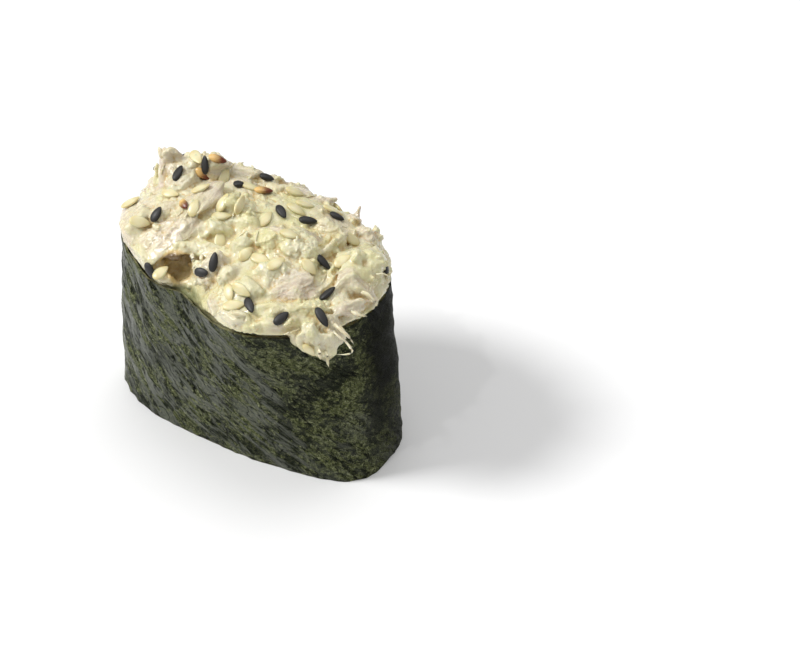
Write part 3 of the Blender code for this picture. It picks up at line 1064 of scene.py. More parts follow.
class NoriBand:
    """The strip of nori, rolled round the rice and lapped over its start at the back."""

    LENGTH = 129.0 * MM

    def __init__(self, outline: Outline, size: NoriSize) -> None:
        """Keeps the outline that it follows and its sizes."""
        self.outline = outline
        self.size = size

    def build(self, material: Paint) -> Item:
        """Models the band.

        Args:
            material: its finish.

        Returns:
            The band.
        """
        size = self.size
        deselect()
        bpy.ops.mesh.primitive_grid_add(
            x_subdivisions=size.columns, y_subdivisions=size.rows, size=1.0
        )
        band = bpy.context.object
        band.name = "nori"
        flat = corners_of(band)
        turns, shares = flat[:, 0] + 0.5, flat[:, 1] + 0.5
        angles, passed = self.outline.even_angles()
        around = turns * (1.0 + size.lap) - size.lap / 2.0
        angle = np.interp(around % 1.0, passed, angles)
        columns, which = np.unique(np.round(angle, 9), return_inverse=True)
        rims = np.array([self.outline.rim(value) for value in columns])[which]
        climb = np.array([smooth_step((turn - 1.0 + size.ramp) / size.ramp) for turn in around])
        out = size.lap_out * climb
        length = self.LENGTH * (1.0 + size.lap)
        places = np.empty_like(flat)
        for index in range(len(flat)):
            arc = turns[index] * length
            places[index] = self._wall(angle[index], arc, shares[index], rims[index], out[index])
        sheet = np.stack([turns * length / MM, shares * 30.0, np.zeros_like(turns)], axis=1)
        ragged = noise_rows(sheet * np.array([1.0, 0.0, 0.0]), 0.9, 5.3) * 0.6
        ragged += noise_rows(sheet * np.array([1.0, 0.0, 0.0]), 0.35, 9.1) * 0.4
        places[:, 2] += ragged * size.ragged * ramp(shares, 0.9, 0.1) ** 2
        move_corners(band, places)
        store(band, "sheet", sheet)
        store(band, "angle", angle)
        store(band, "share", shares)
        # Zone where a grey sheen is painted: the left end and the front up to a slanting line, a
        # band near the foot from the front right on, and a little everywhere.
        patchy = noise_rows(sheet, 7.0, 4.4)
        bound = 0.575 + 0.055 * (1.0 - shares) + 0.02 * patchy
        left = ramp(turns, bound, -0.03) * ramp(turns, 0.2, 0.1)
        low = ramp(turns, 0.62, 0.04) * np.clip(0.45 - shares, 0.0, 0.4)
        painted_sheen_zone = (1.0 + 0.7 * patchy) * left + low + 0.16 + 0.5 * patchy
        store(band, "painted_sheen_zone", np.clip(painted_sheen_zone, 0.0, 1.0))
        # Shade painted over the right end of the nori, patchy and stronger higher up.
        right = ramp(turns, 0.685, 0.03) * ramp(turns, 0.96, -0.2)
        painted_shade_patches = np.clip((shares + 0.1) / 0.6 + 0.5 * patchy, 0.4, 1.0)
        store(band, "shade", 0.93 * right * painted_shade_patches)
        thicken(band, size.thickness)
        for vertex in band.data.vertices:
            vertex.co.z = max(vertex.co.z, 0.0)
        self._smear(band)
        return dress(band, material, 50.0)

    def _wall(self, angle: float, arc: float, share: float, rim: float, out: float) -> Vector:
        """Point of the wrap with its creases.

        Args:
            angle: angle of the outline.
            arc: distance along the strip.
            share: height as a share of the rim's.
            rim: height of the rim.
            out: distance outwards.

        Returns:
            The point.
        """
        size = self.size
        z = rim * share
        flat = self.outline.at(angle, share)
        across = (z + size.ripple_slope * flat.x) / size.ripple_width
        along = (flat.x - size.ripple_slope * z) / size.ripple_length
        ripple = size.ripple_depth * noise.noise(Vector((across, along, flat.y / 0.016)))
        level, steep = size.crease_slant
        long_way, cross_way = arc * level - z * steep, arc * steep + z * level
        (short, long), (brief, drawn) = size.crease_wave, size.swell_wave
        crease = noise.noise(Vector((cross_way / short, long_way / long, 7.0)))
        swell = noise.noise(Vector((cross_way / brief, long_way / drawn, 2.0)))
        pits = noise.noise(Vector((flat.x, flat.y, z)) / size.pit_wave)
        ripple += size.crease_depth * (1.0 - size.crease_edge * abs(crease))
        ripple += size.crease_depth * size.swell_share * swell
        ripple += size.pit_depth * pits
        moved = self.outline.at(angle, share, out + ripple)
        return Vector((moved.x, moved.y, z))

    def room(self) -> Item:
        """The upper part of the wall, once round and thicker, to clear the heap from the nori.

        Returns:
            A closed band.
        """
        size = self.size
        deselect()
        bpy.ops.mesh.primitive_cylinder_add(
            vertices=300, radius=1.0, depth=1.0, end_fill_type="NOTHING"
        )
        room = bpy.context.object
        pick([room])
        bpy.ops.object.mode_set(mode="EDIT")
        for height in (-0.3, -0.1, 0.1, 0.3):  # five even rows
            bpy.ops.mesh.select_all(action="SELECT")
            bpy.ops.mesh.bisect(plane_co=(0.0, 0.0, height), plane_no=(0.0, 0.0, 1.0))
        bpy.ops.object.mode_set(mode="OBJECT")
        angles, passed = self.outline.even_angles()
        for vertex in room.data.vertices:
            angle = math.atan2(vertex.co.y, vertex.co.x)
            turn = (angle - math.pi / 2.0) % math.tau
            around = np.interp(turn + math.pi / 2.0, angles, passed)
            arc = (around + size.lap / 2.0) * self.LENGTH
            share = mix(0.5, 1.0 + 0.06 * MM / self.outline.height, vertex.co.z + 0.5)
            vertex.co = self._wall(angle, arc, share, self.outline.rim(angle), 0.0)
        thicken(room, size.thickness + size.room)
        return room

    @staticmethod
    def _smear(band: Item) -> None:
        """Marks where mayonnaise is smeared along the inside of the rim.

        Args:
            band: the band.
        """
        count = len(band.data.vertices)
        angle, share = np.empty(count, np.float32), np.empty(count, np.float32)
        band.data.attributes["angle"].data.foreach_get("value", angle)
        band.data.attributes["share"].data.foreach_get("value", share)
        places, normals = corners_of(band), normals_of(band)
        inward = (places[:, 0] * normals[:, 0] + places[:, 1] * normals[:, 1]) < 0.0
        patch = np.clip(0.5 + 0.9 * noise_rows(places, 0.0022, 2.0), 0.0, 1.0)
        store(band, "smear", inward * ramp(share, 0.80, 0.08) * patch)


@dataclass(frozen=True)
class RiceSize:
    """Sizes of the rice block and its grains."""

    top: float = 17.0 * MM
    inset: float = 1.05 * MM
    core_bottom: float = 1.3 * MM
    segments: int = 96
    grain: tuple[float, float, float] = (6.2 * MM, 2.8 * MM, 2.6 * MM)
    spacing: float = 2.5 * MM
    most: int = 150
    tries: int = 5000
    turns: int = 24
    sunk: float = 0.15 * MM


class RiceBlock:
    """The pressed rice inside the nori, whose grains show from below."""

    def __init__(self, outline: Outline, size: RiceSize) -> None:
        """Keeps the outline that it fills and its sizes."""
        self.outline = outline
        self.size = size

    def build(self, material: Paint) -> Item:
        """Models the block and gives it its finish."""
        return dress(join([self._core(), *self._grains()], "rice"), material, 60.0)

    def _core(self) -> Item:
        """The block without its lowest grains.

        Returns:
            The core.
        """
        size = self.size
        deselect()
        bpy.ops.mesh.primitive_cylinder_add(vertices=size.segments, radius=1.0, depth=1.0)
        core = bpy.context.object
        for vertex in core.data.vertices:
            angle = math.atan2(vertex.co.y, vertex.co.x)
            z = mix(size.core_bottom, size.top, vertex.co.z + 0.5)
            flat = self.outline.at(angle, z / self.outline.height, -size.inset)
            vertex.co = (flat.x, flat.y, z)
        return core

    def _inside(self, place: Vector, inset: float) -> bool:
        """Whether a plan point is inside the base's outline.

        Args:
            place: the point.
            inset: least distance from the outline.

        Returns:
            True if it is inside.
        """
        outline = self.outline
        along = abs(place.x) / (outline.base_length / 2.0 - inset)
        across = abs(place.y) / (outline.base_width / 2.0 - inset)
        return along**outline.base_squareness + across**outline.base_squareness < 1.0

    def _grains(self) -> list[Item]:
        """Grains of rice packed on the underside, their lowest sides pressed flat.

        Returns:
            The grains.
        """
        size = self.size
        draw = random.Random(11)
        model = globe(10, 8)
        bpy.ops.transform.rotate(value=math.pi / 2.0, orient_axis="Y", center_override=ZERO)
        bpy.ops.object.transform_apply(location=False, rotation=True, scale=False)
        places: list[Vector] = [Vector((0.0, 0.0))]
        for _ in range(size.tries):
            if len(places) == size.most:
                break
            along = draw.uniform(-0.5, 0.5) * self.outline.base_length
            place = Vector((along, draw.uniform(-0.5, 0.5) * self.outline.base_width))
            clear = all((place - other).length > size.spacing for other in places)
            if clear and self._inside(place, size.inset + size.grain[1] * 0.62):
                places.append(place)
        grains = []
        for place in places:
            heading = draw.uniform(0.0, math.pi)
            length = size.grain[0] * draw.uniform(0.85, 1.1)
            for _ in range(size.turns):
                arm = Vector((math.cos(heading), math.sin(heading))) * length / 2.0
                if all(self._inside(end, size.inset) for end in (place + arm, place - arm)):
                    break
                heading += math.pi / size.turns
            else:
                length = size.grain[1]
            grain = copy_to(
                model,
                Matrix.Translation((place.x, place.y, size.grain[2] / 2.0 - size.sunk))
                @ Matrix.Rotation(heading, 4, "Z")
                @ Matrix.Rotation(math.radians(draw.uniform(-7.0, 7.0)), 4, "Y")
                @ Matrix.Diagonal((length, size.grain[1], size.grain[2], 1.0)),
            )
            low = draw.uniform(0.0, 0.12) * MM if places.index(place) else 0.0
            for vertex in grain.data.vertices:
                vertex.co.z = max(vertex.co.z, low)
            grains.append(grain)
        bpy.data.objects.remove(model)
        return grains


@dataclass(frozen=True)
class Chunk:
    """A lump of the heap: its middle, size, heading and tilt, in millimetres and degrees."""

    middle: tuple[float, float, float]
    size: tuple[float, float, float]
    heading: float
    tilt: float
    flake: float
    taper: float = 0.0
    square: float = 2.0
    hangs: bool = False

    def matrix(self) -> Matrix:
        """Place of the lump.

        Returns:
            The matrix, without its size.
        """
        turn = Matrix.Rotation(math.radians(self.heading), 4, "Z")
        lean = Matrix.Rotation(-math.radians(self.tilt), 4, "Y")
        return Matrix.Translation(Vector(self.middle) * MM) @ turn @ lean


@dataclass(frozen=True)
class Lump:
    """A smaller lump or flake as seen from the viewpoint: its place and size in millimetres, its
    angle in the picture, how much of it is bare tuna, how far it is raised and how it leans."""

    right: float
    up: float
    size: tuple[float, float, float]
    angle: float
    flake: float
    raised: float = 0.0
    lean: float = 0.0
    taper: float = 0.2


# The lumps and flakes that show most, roughly from the left end to the right.
LUMPS = tuple(
    Lump(*row)
    for row in (
        (-16.9, 23.5, (3.8, 3.2, 2.4), 20, 0.0, 0.3), (-14.0, 22.4, (2.4, 1.9, 1.5), 0, 0.1, 0.4),
        (-12.6, 24.0, (6.0, 4.4, 2.4), 70, 0.6, 0.3),
        (-15.2, 15.0, (8.0, 5.4, 1.6), 42, 1.0, 0.0, 2, 0.2),
        (-18.2, 13.4, (7.0, 4.8, 1.8), 44, 0.8, 0.0, 0, 0.2),
        (-18.8, 10.9, (6.6, 4.4, 3.0), -50, 0.4, 0.1),
        (-15.4, 8.4, (4.6, 3.4, 2.2), -44, 0.3, 0.1),
        (-12.6, 16.6, (6.0, 4.0, 1.5), 50, 0.8, 0.2, 3, 0.2),
        (-19.6, 18.0, (4.6, 3.0, 1.8), 60, 0.5, 0.2), (-16.0, 19.2, (5.0, 3.2, 1.4), 30, 0.6, 0.2),
        (-8.6, 21.6, (8.6, 5.0, 1.8), 74, 0.9, 0.2, 2, 0.2),
        (-13.2, 26.2, (6.4, 4.4, 2.2), -60, 0.9, 0.2), (-7.4, 26.2, (5.4, 4.4, 3.4), 20, 0.7, 0.6),
        (-2.6, 25.6, (8.4, 3.4, 1.5), -34, 0.9, 0.3, 4, 0.3),
        (2.4, 23.2, (6.0, 2.6, 1.4), -28, 0.6, 0.3, 4, 0.3),
        (-12.8, 13.0, (5.6, 3.2, 1.6), 20, 0.3, 0.5, 0, 0.3),
        (-9.4, 13.4, (5.0, 2.6, 1.4), -6, 0.1, 0.6, 0, 0.3),
        (-7.8, 9.9, (6.2, 4.6, 2.4), 30, 0.75, 0.4), (-5.2, 9.2, (3.6, 2.8, 1.7), 60, 0.4, 0.3),
        (-4.4, 20.6, (3.6, 2.8, 2.1), 60, 0.0, 0.5), (-2.2, 17.4, (4.4, 3.6, 2.3), 10, 0.0, 0.4),
        (-6.8, 16.6, (3.8, 2.6, 1.9), -20, 0.0, 0.4), (1.2, 14.6, (5.2, 4.4, 2.0), -30, 0.0, 0.3),
        (-3.2, 13.6, (3.4, 2.8, 1.9), 30, 0.0, 0.4), (1.8, 9.6, (4.6, 3.4, 2.0), 20, 0.1, 0.3),
        (5.6, 7.0, (6.6, 5.2, 1.6), 30, 1.0, 0.2), (-1.6, 6.8, (4.4, 3.0, 1.9), -30, 0.1, 0.3),
        (6.8, 13.4, (7.0, 5.4, 1.6), -50, 0.1, 0.2), (11.4, 16.2, (5.4, 3.6, 1.7), -40, 0.5, 0.3),
        (13.8, 19.2, (3.4, 2.4, 1.7), -20, 0.0, 0.4), (15.8, 18.8, (2.8, 2.2, 1.7), 30, 0.2, 0.4),
        (17.0, 15.4, (3.8, 3.2, 2.0), -50, 0.7, 0.2), (18.4, 11.6, (4.8, 3.8, 2.4), 60, 0.1, 0.3),
        (15.4, 11.8, (3.6, 2.8, 1.9), 70, 0.0, 0.3),
        (13.2, 7.8, (5.6, 2.8, 1.6), 52, 0.7, 0.2, 0, 0.2),
        (16.4, 6.6, (5.8, 2.6, 1.6), -34, 0.8, 0.3, 2, 0.4),
        (14.6, 3.9, (6.4, 2.4, 1.6), 24, 0.8, 0.3, 2, 0.3),
        (9.0, 3.4, (4.8, 3.4, 2.1), 30, 0.1, 0.3),
        (11.8, 0.6, (5.2, 2.6, 1.7), -48, 0.7, 0.3, 2, 0.3),
        (8.4, -0.8, (4.8, 3.0, 1.9), -70, 0.2, 0.2, 0, 0.3),
        (11.0, -2.2, (4.8, 3.2, 1.8), -66, 0.3, 0.2, 0, 0.3),
        (7.4, -1.8, (4.2, 2.8, 1.8), -74, 0.2, 0.2, 0, 0.2),
        (2.6, 3.4, (6.8, 2.6, 1.7), 4, 0.4, 0.2), (-3.8, 2.2, (5.0, 2.4, 1.6), -16, 0.5, 0.2),
        (-14.4, 27.2, (3.8, 1.7, 3.0), 10, 1.0, 0.7, 0, 0.3),
        (-10.4, 26.6, (3.6, 3.0, 2.4), 20, 0.3, 0.4),
        (12.5, 13.2, (10.4, 1.5, 2.8), 69, 0.4, 0.5, 0, 0.1),
        (9.9, -3.5, (4.4, 2.3, 1.5), -76, 0.5, 0.2, 0, 0.4),
        (-4.8, 2.0, (3.0, 1.6, 1.3), -24, 0.5, 0.4), (-1.4, 0.9, (2.8, 1.5, 1.2), 8, 0.2, 0.5),
        (2.0, 1.0, (3.2, 1.6, 1.3), -12, 0.6, 0.5), (4.8, 1.4, (2.6, 1.5, 1.3), 26, 0.3, 0.5),
        (-7.6, 4.4, (3.0, 1.5, 1.3), -36, 0.6, 0.3),
    )
)


@dataclass(frozen=True)
class HeapSize:
    """Sizes of the heap of tuna mayonnaise."""

    left: float = 8.6 * MM
    right: float = 5.0 * MM
    shoulder: float = 3.0
    overhang: float = 0.3 * MM
    inset: float = 0.9 * MM
    floor: float = 17.3 * MM
    drop: float = 1.4 * MM
    around: int = 96
    rings: int = 52
    mound_rings: int = 38
    tuck_rings: int = 3
    grooves: tuple[Lump, ...] = (
        Lump(14.6, 15.4, (6.5, 1.3, 3.4), 70, 0.0, 0.2),
        Lump(13.3, 11.4, (7.0, 1.5, 3.4), 68, 0.0, 0.2),
        Lump(11.2, 7.2, (6.0, 1.3, 3.0), 58, 0.0, 0.2),
        Lump(-10.2, 11.8, (5.8, 1.1, 3.6), -8, 0.0, 0.3),
    )
    first_voxel: float = 0.42 * MM
    voxel: float = 0.225 * MM
    hidden_top: float = 27.6 * MM
    kept: float = 0.6
    flakes: int = 46
    flake_spacing: float = 2.0 * MM
    flake_spans: tuple[tuple[float, float], ...] = ((3.2, 7.0), (1.6, 3.4), (0.8, 1.5))
    curds: int = 420
    curd_spacing: float = 0.8 * MM
    spread_depth: float = 4.0 * MM
    spread_height: float = 25.2 * MM
    patch_wave: float = 0.0055
    lump_wave: float = 0.00125
    lump_depth: float = 0.24 * MM
    crumb_wave: float = 0.00066
    crumb_depth: float = 0.14 * MM
    warp_wave: float = 0.0021
    warp_depth: float = 0.26 * MM
    strand_wave: tuple[float, float, float] = (0.0040, 0.00060, 0.00060)
    strand_depth: float = 0.13 * MM
    smooth_below: float = 28.5 * MM
    edges: tuple[Bump, ...] = (
        Bump(-158, 0.4 * MM, 24),
        Bump(-136, 0.5 * MM, 16),
        Bump(-100, -2.0 * MM, 15),
        Bump(-72, 0.7 * MM, 12),
        Bump(-52, 1.0 * MM, 16),
        Bump(-14, 0.8 * MM, 26),
        Bump(40, 0.4 * MM, 30),
    )
    hollow_place: tuple[float, float, float] = (-6.9, -11.6, 32.5)
    hollow_size: tuple[float, float, float] = (4.7, 4.9, 5.2)
    chunks: tuple[Chunk, ...] = (
        # lobe and crest at the left end, and the blade of tuna that stands on it
        Chunk((-15.2, -6.0, 32.8), (13.0, 11.0, 9.0), 55, 0, 0.8),
        Chunk((-15.2, 2.6, 35.4), (11.0, 9.0, 7.6), 80, 0, 0.3),
        Chunk((-17.3, 1.0, 38.7), (9.6, 6.2, 1.8), 143, 52, 1.0, 0.6, 2.6),
        Chunk((-19.0, 1.4, 39.4), (6.6, 2.2, 1.4), 160, 44, 1.0, 0.85),
        Chunk((-14.6, 5.2, 38.0), (6.5, 5.0, 4.6), 20, 12, 0.9),
        # back ridge, left to right
        Chunk((-8.5, 6.2, 36.2), (11.0, 7.0, 4.8), -15, 0, 0.9),
        Chunk((-0.5, 6.8, 34.5), (11.0, 7.5, 4.8), 5, 0, 0.1),
        Chunk((8.0, 7.0, 33.4), (11.0, 8.0, 4.8), -10, -4, 0.6),
        # broad flat flake at the right of the middle, then the mass past its crease
        Chunk((9.0, -4.4, 34.9), (12.6, 8.6, 4.8), -60, -22, 0.35, 0.0, 3.2),
        Chunk((17.2, 1.2, 32.6), (9.0, 11.5, 7.2), 0, 0, 0.2),
        Chunk((18.8, -4.8, 31.5), (6.5, 6.5, 4.4), 60, -12, 0.5),
        Chunk((14.0, 8.2, 31.9), (9.0, 7.0, 5.0), -30, 0, 0.4),
        # front slope and the lip that hangs over the rim
        Chunk((0.5, -8.4, 33.4), (13.0, 8.0, 6.0), 10, 0, 0.2),
        Chunk((8.0, -14.8, 31.3), (12.0, 4.8, 3.4), 12, 0, 0.4, hangs=True),
        Chunk((14.2, -10.6, 31.8), (8.0, 7.0, 4.6), -30, 0, 0.3),
        # tongue that hangs over the rim at the front right
        Chunk((18.3, -11.2, 30.0), (8.0, 4.4, 5.4), 46, 0, 0.3, hangs=True),
        Chunk((20.2, -10.9, 27.3), (7.6, 4.4, 2.4), 48, -84, 0.3, 0.7, hangs=True),
    )
    lumps: tuple[Lump, ...] = LUMPS


class TunaHeap:
    """The heap of tuna mayonnaise."""

    def __init__(self, outline: Outline, size: HeapSize) -> None:
        """Keeps the outline of the nori that holds it, and its sizes.

        Args:
            outline: the outline.
            size: the sizes.
        """
        self.outline = outline
        self.size = size
        self.draw = random.Random(23)
        self.flake_frames: list[tuple[Matrix, Vector, float]] = []

    def build(self, view: Viewpoint, room: Item, material: Paint) -> Item:
        """Models the heap.

        Args:
            view: the viewpoint that the lumps are seen from.
            room: closed band that the heap keeps clear of.
            material: its finish.

        Returns:
            The heap.
        """
        size = self.size
        bare = join([self._core(), *self._chunks()], "bare_heap")
        self._remesh(bare, size.first_voxel)
        tree = BVHTree.FromObject(bare, bpy.context.evaluated_depsgraph_get())
        dig(bare, self._hollow())
        lumps = [self._lump(tree, view, lump, n) for n, lump in enumerate(size.lumps)]
        lumps = [lump for lump in lumps if lump is not None]
        heap = join([bare, *lumps, *self._flakes(tree, view)], "heap_with_lumps")
        self._remesh(heap, size.first_voxel * 0.8)
        tree = BVHTree.FromObject(heap, bpy.context.evaluated_depsgraph_get())
        for groove in size.grooves:
            dig(heap, self._lump(tree, view, groove, 99))
            self.flake_frames.pop()
        tree = BVHTree.FromObject(heap, bpy.context.evaluated_depsgraph_get())
        heap = join([heap, *self._curds(tree)], "tuna_mayonnaise")
        self._remesh(heap, size.voxel)
        move_corners(heap, neighbour_mean(heap, corners_of(heap), 2))
        self._thin(heap)
        self._relief(heap)
        dig(heap, room)
        heap = self._whole(heap)
        self._marks(heap)
        return dress(heap, material)

    def _edge(self, angle: float) -> tuple[float, float]:
        """How far the heap's edge lies past the outline, and its height there.

        Args:
            angle: angle of the outline.

        Returns:
            The offset and the height.
        """
        size = self.size
        out = size.overhang + sum(bump.at(angle) for bump in size.edges)
        inside = smooth_step(-out / size.inset)
        return out, self.outline.rim(angle) + 0.9 * MM - size.drop * inside

    def _height(self, x: float, reach: float) -> float:
        """Height of the bare heap over its edge, which is where the reach is 1."""
        tall = mix(self.size.left, self.size.right, smooth_step(x / self.outline.rim_length + 0.5))
        return tall * (1.0 - min(1.0, reach) ** self.size.shoulder) ** 0.75

    def _core(self) -> Item:
        """The bare heap: it fills the nori above the rice and swells over the rim.

        Returns:
            The core.
        """
        size = self.size
        core = globe(size.around, size.rings, 1.0)
        last_tuck = size.mound_rings + size.tuck_rings
        for vertex in core.data.vertices:
            polar = math.acos(max(-1.0, min(1.0, vertex.co.z)))
            ring = round(polar / math.pi * size.rings)
            angle = math.atan2(vertex.co.y, vertex.co.x)
            out, brim = self._edge(angle)
            if ring <= size.mound_rings:
                reach = math.sin(ring / size.mound_rings * math.pi / 2.0)
                plan = self.outline.at(angle, 1.0, out) * reach
                z = brim + self._height(plan.x, reach)
            elif ring <= last_tuck:
                share = (ring - size.mound_rings) / size.tuck_rings
                plan = self.outline.at(angle, 1.0, mix(out, -size.inset - 0.3 * MM, share))
                z = brim - 0.3 * MM * share
            elif ring < size.rings:
                down = (ring - last_tuck) / (size.rings - 1 - last_tuck)
                z = mix(brim - 0.3 * MM, size.floor, down)
                plan = self.outline.at(angle, z / self.outline.height, -size.inset - 0.3 * MM)
            else:
                plan, z = Vector((0.0, 0.0)), size.floor
            vertex.co = (plan.x, plan.y, z)
        return core

    def _chunks(self) -> list[Item]:
        """The lumps that give the heap its large forms.

        Returns:
            The lumps.
        """
        made = []
        for number, chunk in enumerate(self.size.chunks):
            lump = ball(4)
            lengths = Vector(chunk.size) * MM
            for vertex in lump.data.vertices:
                point = 2.0 * vertex.co
                reach = sum(abs(part) ** chunk.square for part in point) ** (1.0 / chunk.square)
                point /= 2.0 * reach
                narrow = 1.0 - chunk.taper * smooth_step(point.x + 0.5)
                vertex.co = Vector((point.x, point.y * narrow, point.z * narrow)) * lengths
            for vertex in lump.data.vertices:
                push = noise.noise(vertex.co / 0.0034 + Vector((number, 0.0, 0.0)))
                push += 0.5 * noise.noise(vertex.co / 0.0015 + Vector((0.0, number, 0.0)))
                vertex.co += vertex.co.normalized() * push * min(0.5 * MM, lengths.z * 0.2)
            lump.data.transform(chunk.matrix())
            if not chunk.hangs:
                for vertex in lump.data.vertices:
                    vertex.co = self.outline.tucked(vertex.co, self.size.inset)
            self.flake_frames.append((chunk.matrix().inverted(), lengths / 2.0, chunk.flake))
            made.append(lump)
        return made

    def _remesh(self, item: Item, voxel: float) -> None:
        """Fuses an object's overlapping shapes into one even skin.

        Args:
            item: the object.
            voxel: size of the skin's faces.
        """
        skin = item.modifiers.new("Skin", "REMESH")
        skin.mode = "VOXEL"
        skin.voxel_size = voxel
        skin.use_smooth_shade = True
        apply_modifiers(item)

    def _thin(self, item: Item) -> None:
        """Gives the smooth part inside the nori larger faces.

        Args:
            item: the heap.
        """
        low = [v.index for v in item.data.vertices if v.co.z < self.size.hidden_top]
        item.vertex_groups.new(name="low").add(low, 1.0, "REPLACE")
        fewer = item.modifiers.new("Fewer", "DECIMATE")
        fewer.ratio = self.size.kept
        fewer.vertex_group = "low"
        apply_modifiers(item)

    def _hollow(self) -> Item:
        """The shape of the recess between the left lobe and the middle.

        Returns:
            The shape.
        """
        digger = ball(4)
        place, lengths = Vector(self.size.hollow_place) * MM, Vector(self.size.hollow_size) * MM
        digger.data.transform(Matrix.Translation(place) @ Matrix.Diagonal((*lengths, 1.0)))
        rough = noise_rows(corners_of(digger), 0.0019, 11.0)
        move_corners(digger, corners_of(digger) + normals_of(digger) * rough[:, None] * 0.9 * MM)
        return digger

    def _spread(
        self, tree: BVHTree, count: int, lowest: float, spacing: float
    ) -> list[tuple[Vector, Vector]]:
        """Places spread evenly over the heap by the golden angle.

        Args:
            tree: the heap's surface.
            count: how many places.
            lowest: least height.
            spacing: least distance between two.

        Returns:
            The places with their outward normals.
        """
        middle = Vector((0.0, 0.0, self.outline.height - self.size.spread_depth))
        half = Vector((self.outline.rim_length, self.outline.rim_width, self.size.spread_height))
        half /= 2.0
        found: list[tuple[Vector, Vector]] = []
        for step in range(count * 5):
            if len(found) == count:
                break
            height = 1.0 - (step % (count * 2) + 0.5) / (count * 2.0)
            angle = step * GOLDEN_TURN + self.draw.uniform(-0.6, 0.6)
            flat = math.sqrt(1.0 - height * height)
            aim = Vector((math.cos(angle) * flat, math.sin(angle) * flat, height)) * half
            far = middle + aim.normalized() * CLEAR
            hit, normal, _, _ = tree.ray_cast(far, (middle - far).normalized())
            if hit is None or hit.z < lowest:
                continue
            if all((hit - other).length >= spacing for other, _ in found):
                found.append((hit, normal))
        return found

    def _lump(self, tree: BVHTree, view: Viewpoint, lump: Lump, number: int) -> Item | None:
        """A lump or flake laid on the bare heap.

        Args:
            tree: the bare heap's surface.
            view: the viewpoint that it is seen from.
            lump: its place and size.
            number: its number, which gives its unevenness.

        Returns:
            The lump, or None where the line of sight misses the heap.
        """
        right, up, _ = view.axes()
        hit, normal, _, _ = tree.ray_cast(*view.ray(lump.right, lump.up))
        if hit is None:
            return None
        for _, other, _, _ in tree.find_nearest_range(hit, 2.0 * MM):
            normal = normal + other
        normal.normalize()
        turn = math.radians(lump.angle)
        lie = right * math.cos(turn) + up * math.sin(turn)
        lie = (lie - normal * lie.dot(normal)).normalized()
        lengths = Vector(lump.size) * MM
        matrix = (
            Matrix.Translation(hit + normal * lump.raised * lengths.z * 0.5)
            @ facing(lie, normal)
            @ Matrix.Rotation(-math.radians(lump.lean), 4, "Y")
        )
        made = ball(4)
        for vertex in made.data.vertices:
            point = vertex.co
            narrow = 1.0 - lump.taper * smooth_step(point.x + 0.5)
            push = noise.noise(point * 2.6 + Vector((number, 1.0, 2.0)))
            push += 0.6 * noise.noise(point * 6.0 + Vector((2.0, number, 1.0)))
            vertex.co = Vector((point.x, point.y * narrow, point.z)) * (1.0 + 0.5 * push)
        made.data.transform(matrix @ Matrix.Diagonal((*lengths, 1.0)))
        for vertex in made.data.vertices:
            if vertex.co.x < 4.0 * MM:
                vertex.co = self.outline.tucked(vertex.co, self.size.inset)
        self.flake_frames.append((matrix.inverted(), lengths / 2.0, lump.flake))
        return made

    @staticmethod
    def _whole(heap: Item) -> Item:
        """Drops what a cut has left loose.

        Args:
            heap: the heap and its scraps.

        Returns:
            The heap alone.
        """
        pick([heap])
        bpy.ops.object.mode_set(mode="EDIT")
        bpy.ops.mesh.select_all(action="SELECT")
        bpy.ops.mesh.separate(type="LOOSE")
        bpy.ops.object.mode_set(mode="OBJECT")
        parts = sorted(bpy.context.selected_objects, key=lambda item: len(item.data.vertices))
        for scrap in parts[:-1]:
            bpy.data.objects.remove(scrap)
        parts[-1].name = "tuna_mayonnaise"
        return parts[-1]

    def _flakes(self, tree: BVHTree, view: Viewpoint) -> list[Item]:
        """Torn flakes of tuna, half sunk in the heap where the viewpoint doesn't see it.

        Args:
            tree: the bare heap's surface.
            view: the viewpoint.

        Returns:
            The flakes.
        """
        made = []
        spots = [
            (place, normal)
            for place, normal in self._spread(
                tree, self.size.flakes * 2, self.outline.height + 0.6 * MM, self.size.flake_spacing
            )
            if (view.eye() - place).normalized().dot(normal) < 0.25
        ]
        for number, (place, normal) in enumerate(spots):
            if number % 3 == 0:
                model = ball(3)
                for vertex in model.data.vertices:
                    push = noise.noise(vertex.co * 3.2 + Vector((number, 1.0, 2.0)))
                    push += 0.6 * noise.noise(vertex.co * 7.0 + Vector((2.0, number, 1.0)))
                    vertex.co *= 1.0 + 0.55 * push
                base = model.data.copy()
                bpy.data.objects.remove(model)
            lengths = Vector([self.draw.uniform(*span) * MM for span in self.size.flake_spans])
            matrix = (
                Matrix.Translation(place + normal * 0.1 * MM)
                @ normal.to_track_quat("Z", "Y").to_matrix().to_4x4()
                @ Matrix.Rotation(self.draw.uniform(0.0, math.tau), 4, "Z")
                @ Matrix.Rotation(math.radians(self.draw.uniform(-26.0, 26.0)), 4, "Y")
            )
            flake = bpy.data.objects.new("flake", base.copy())
            flake.data.transform(matrix @ Matrix.Diagonal((*lengths, 1.0)))
            bpy.context.scene.collection.objects.link(flake)
            kind = 0.95 if self.draw.random() < 0.55 else 0.1
            self.flake_frames.append((matrix.inverted(), lengths / 2.0, kind))
            made.append(flake)
        return made

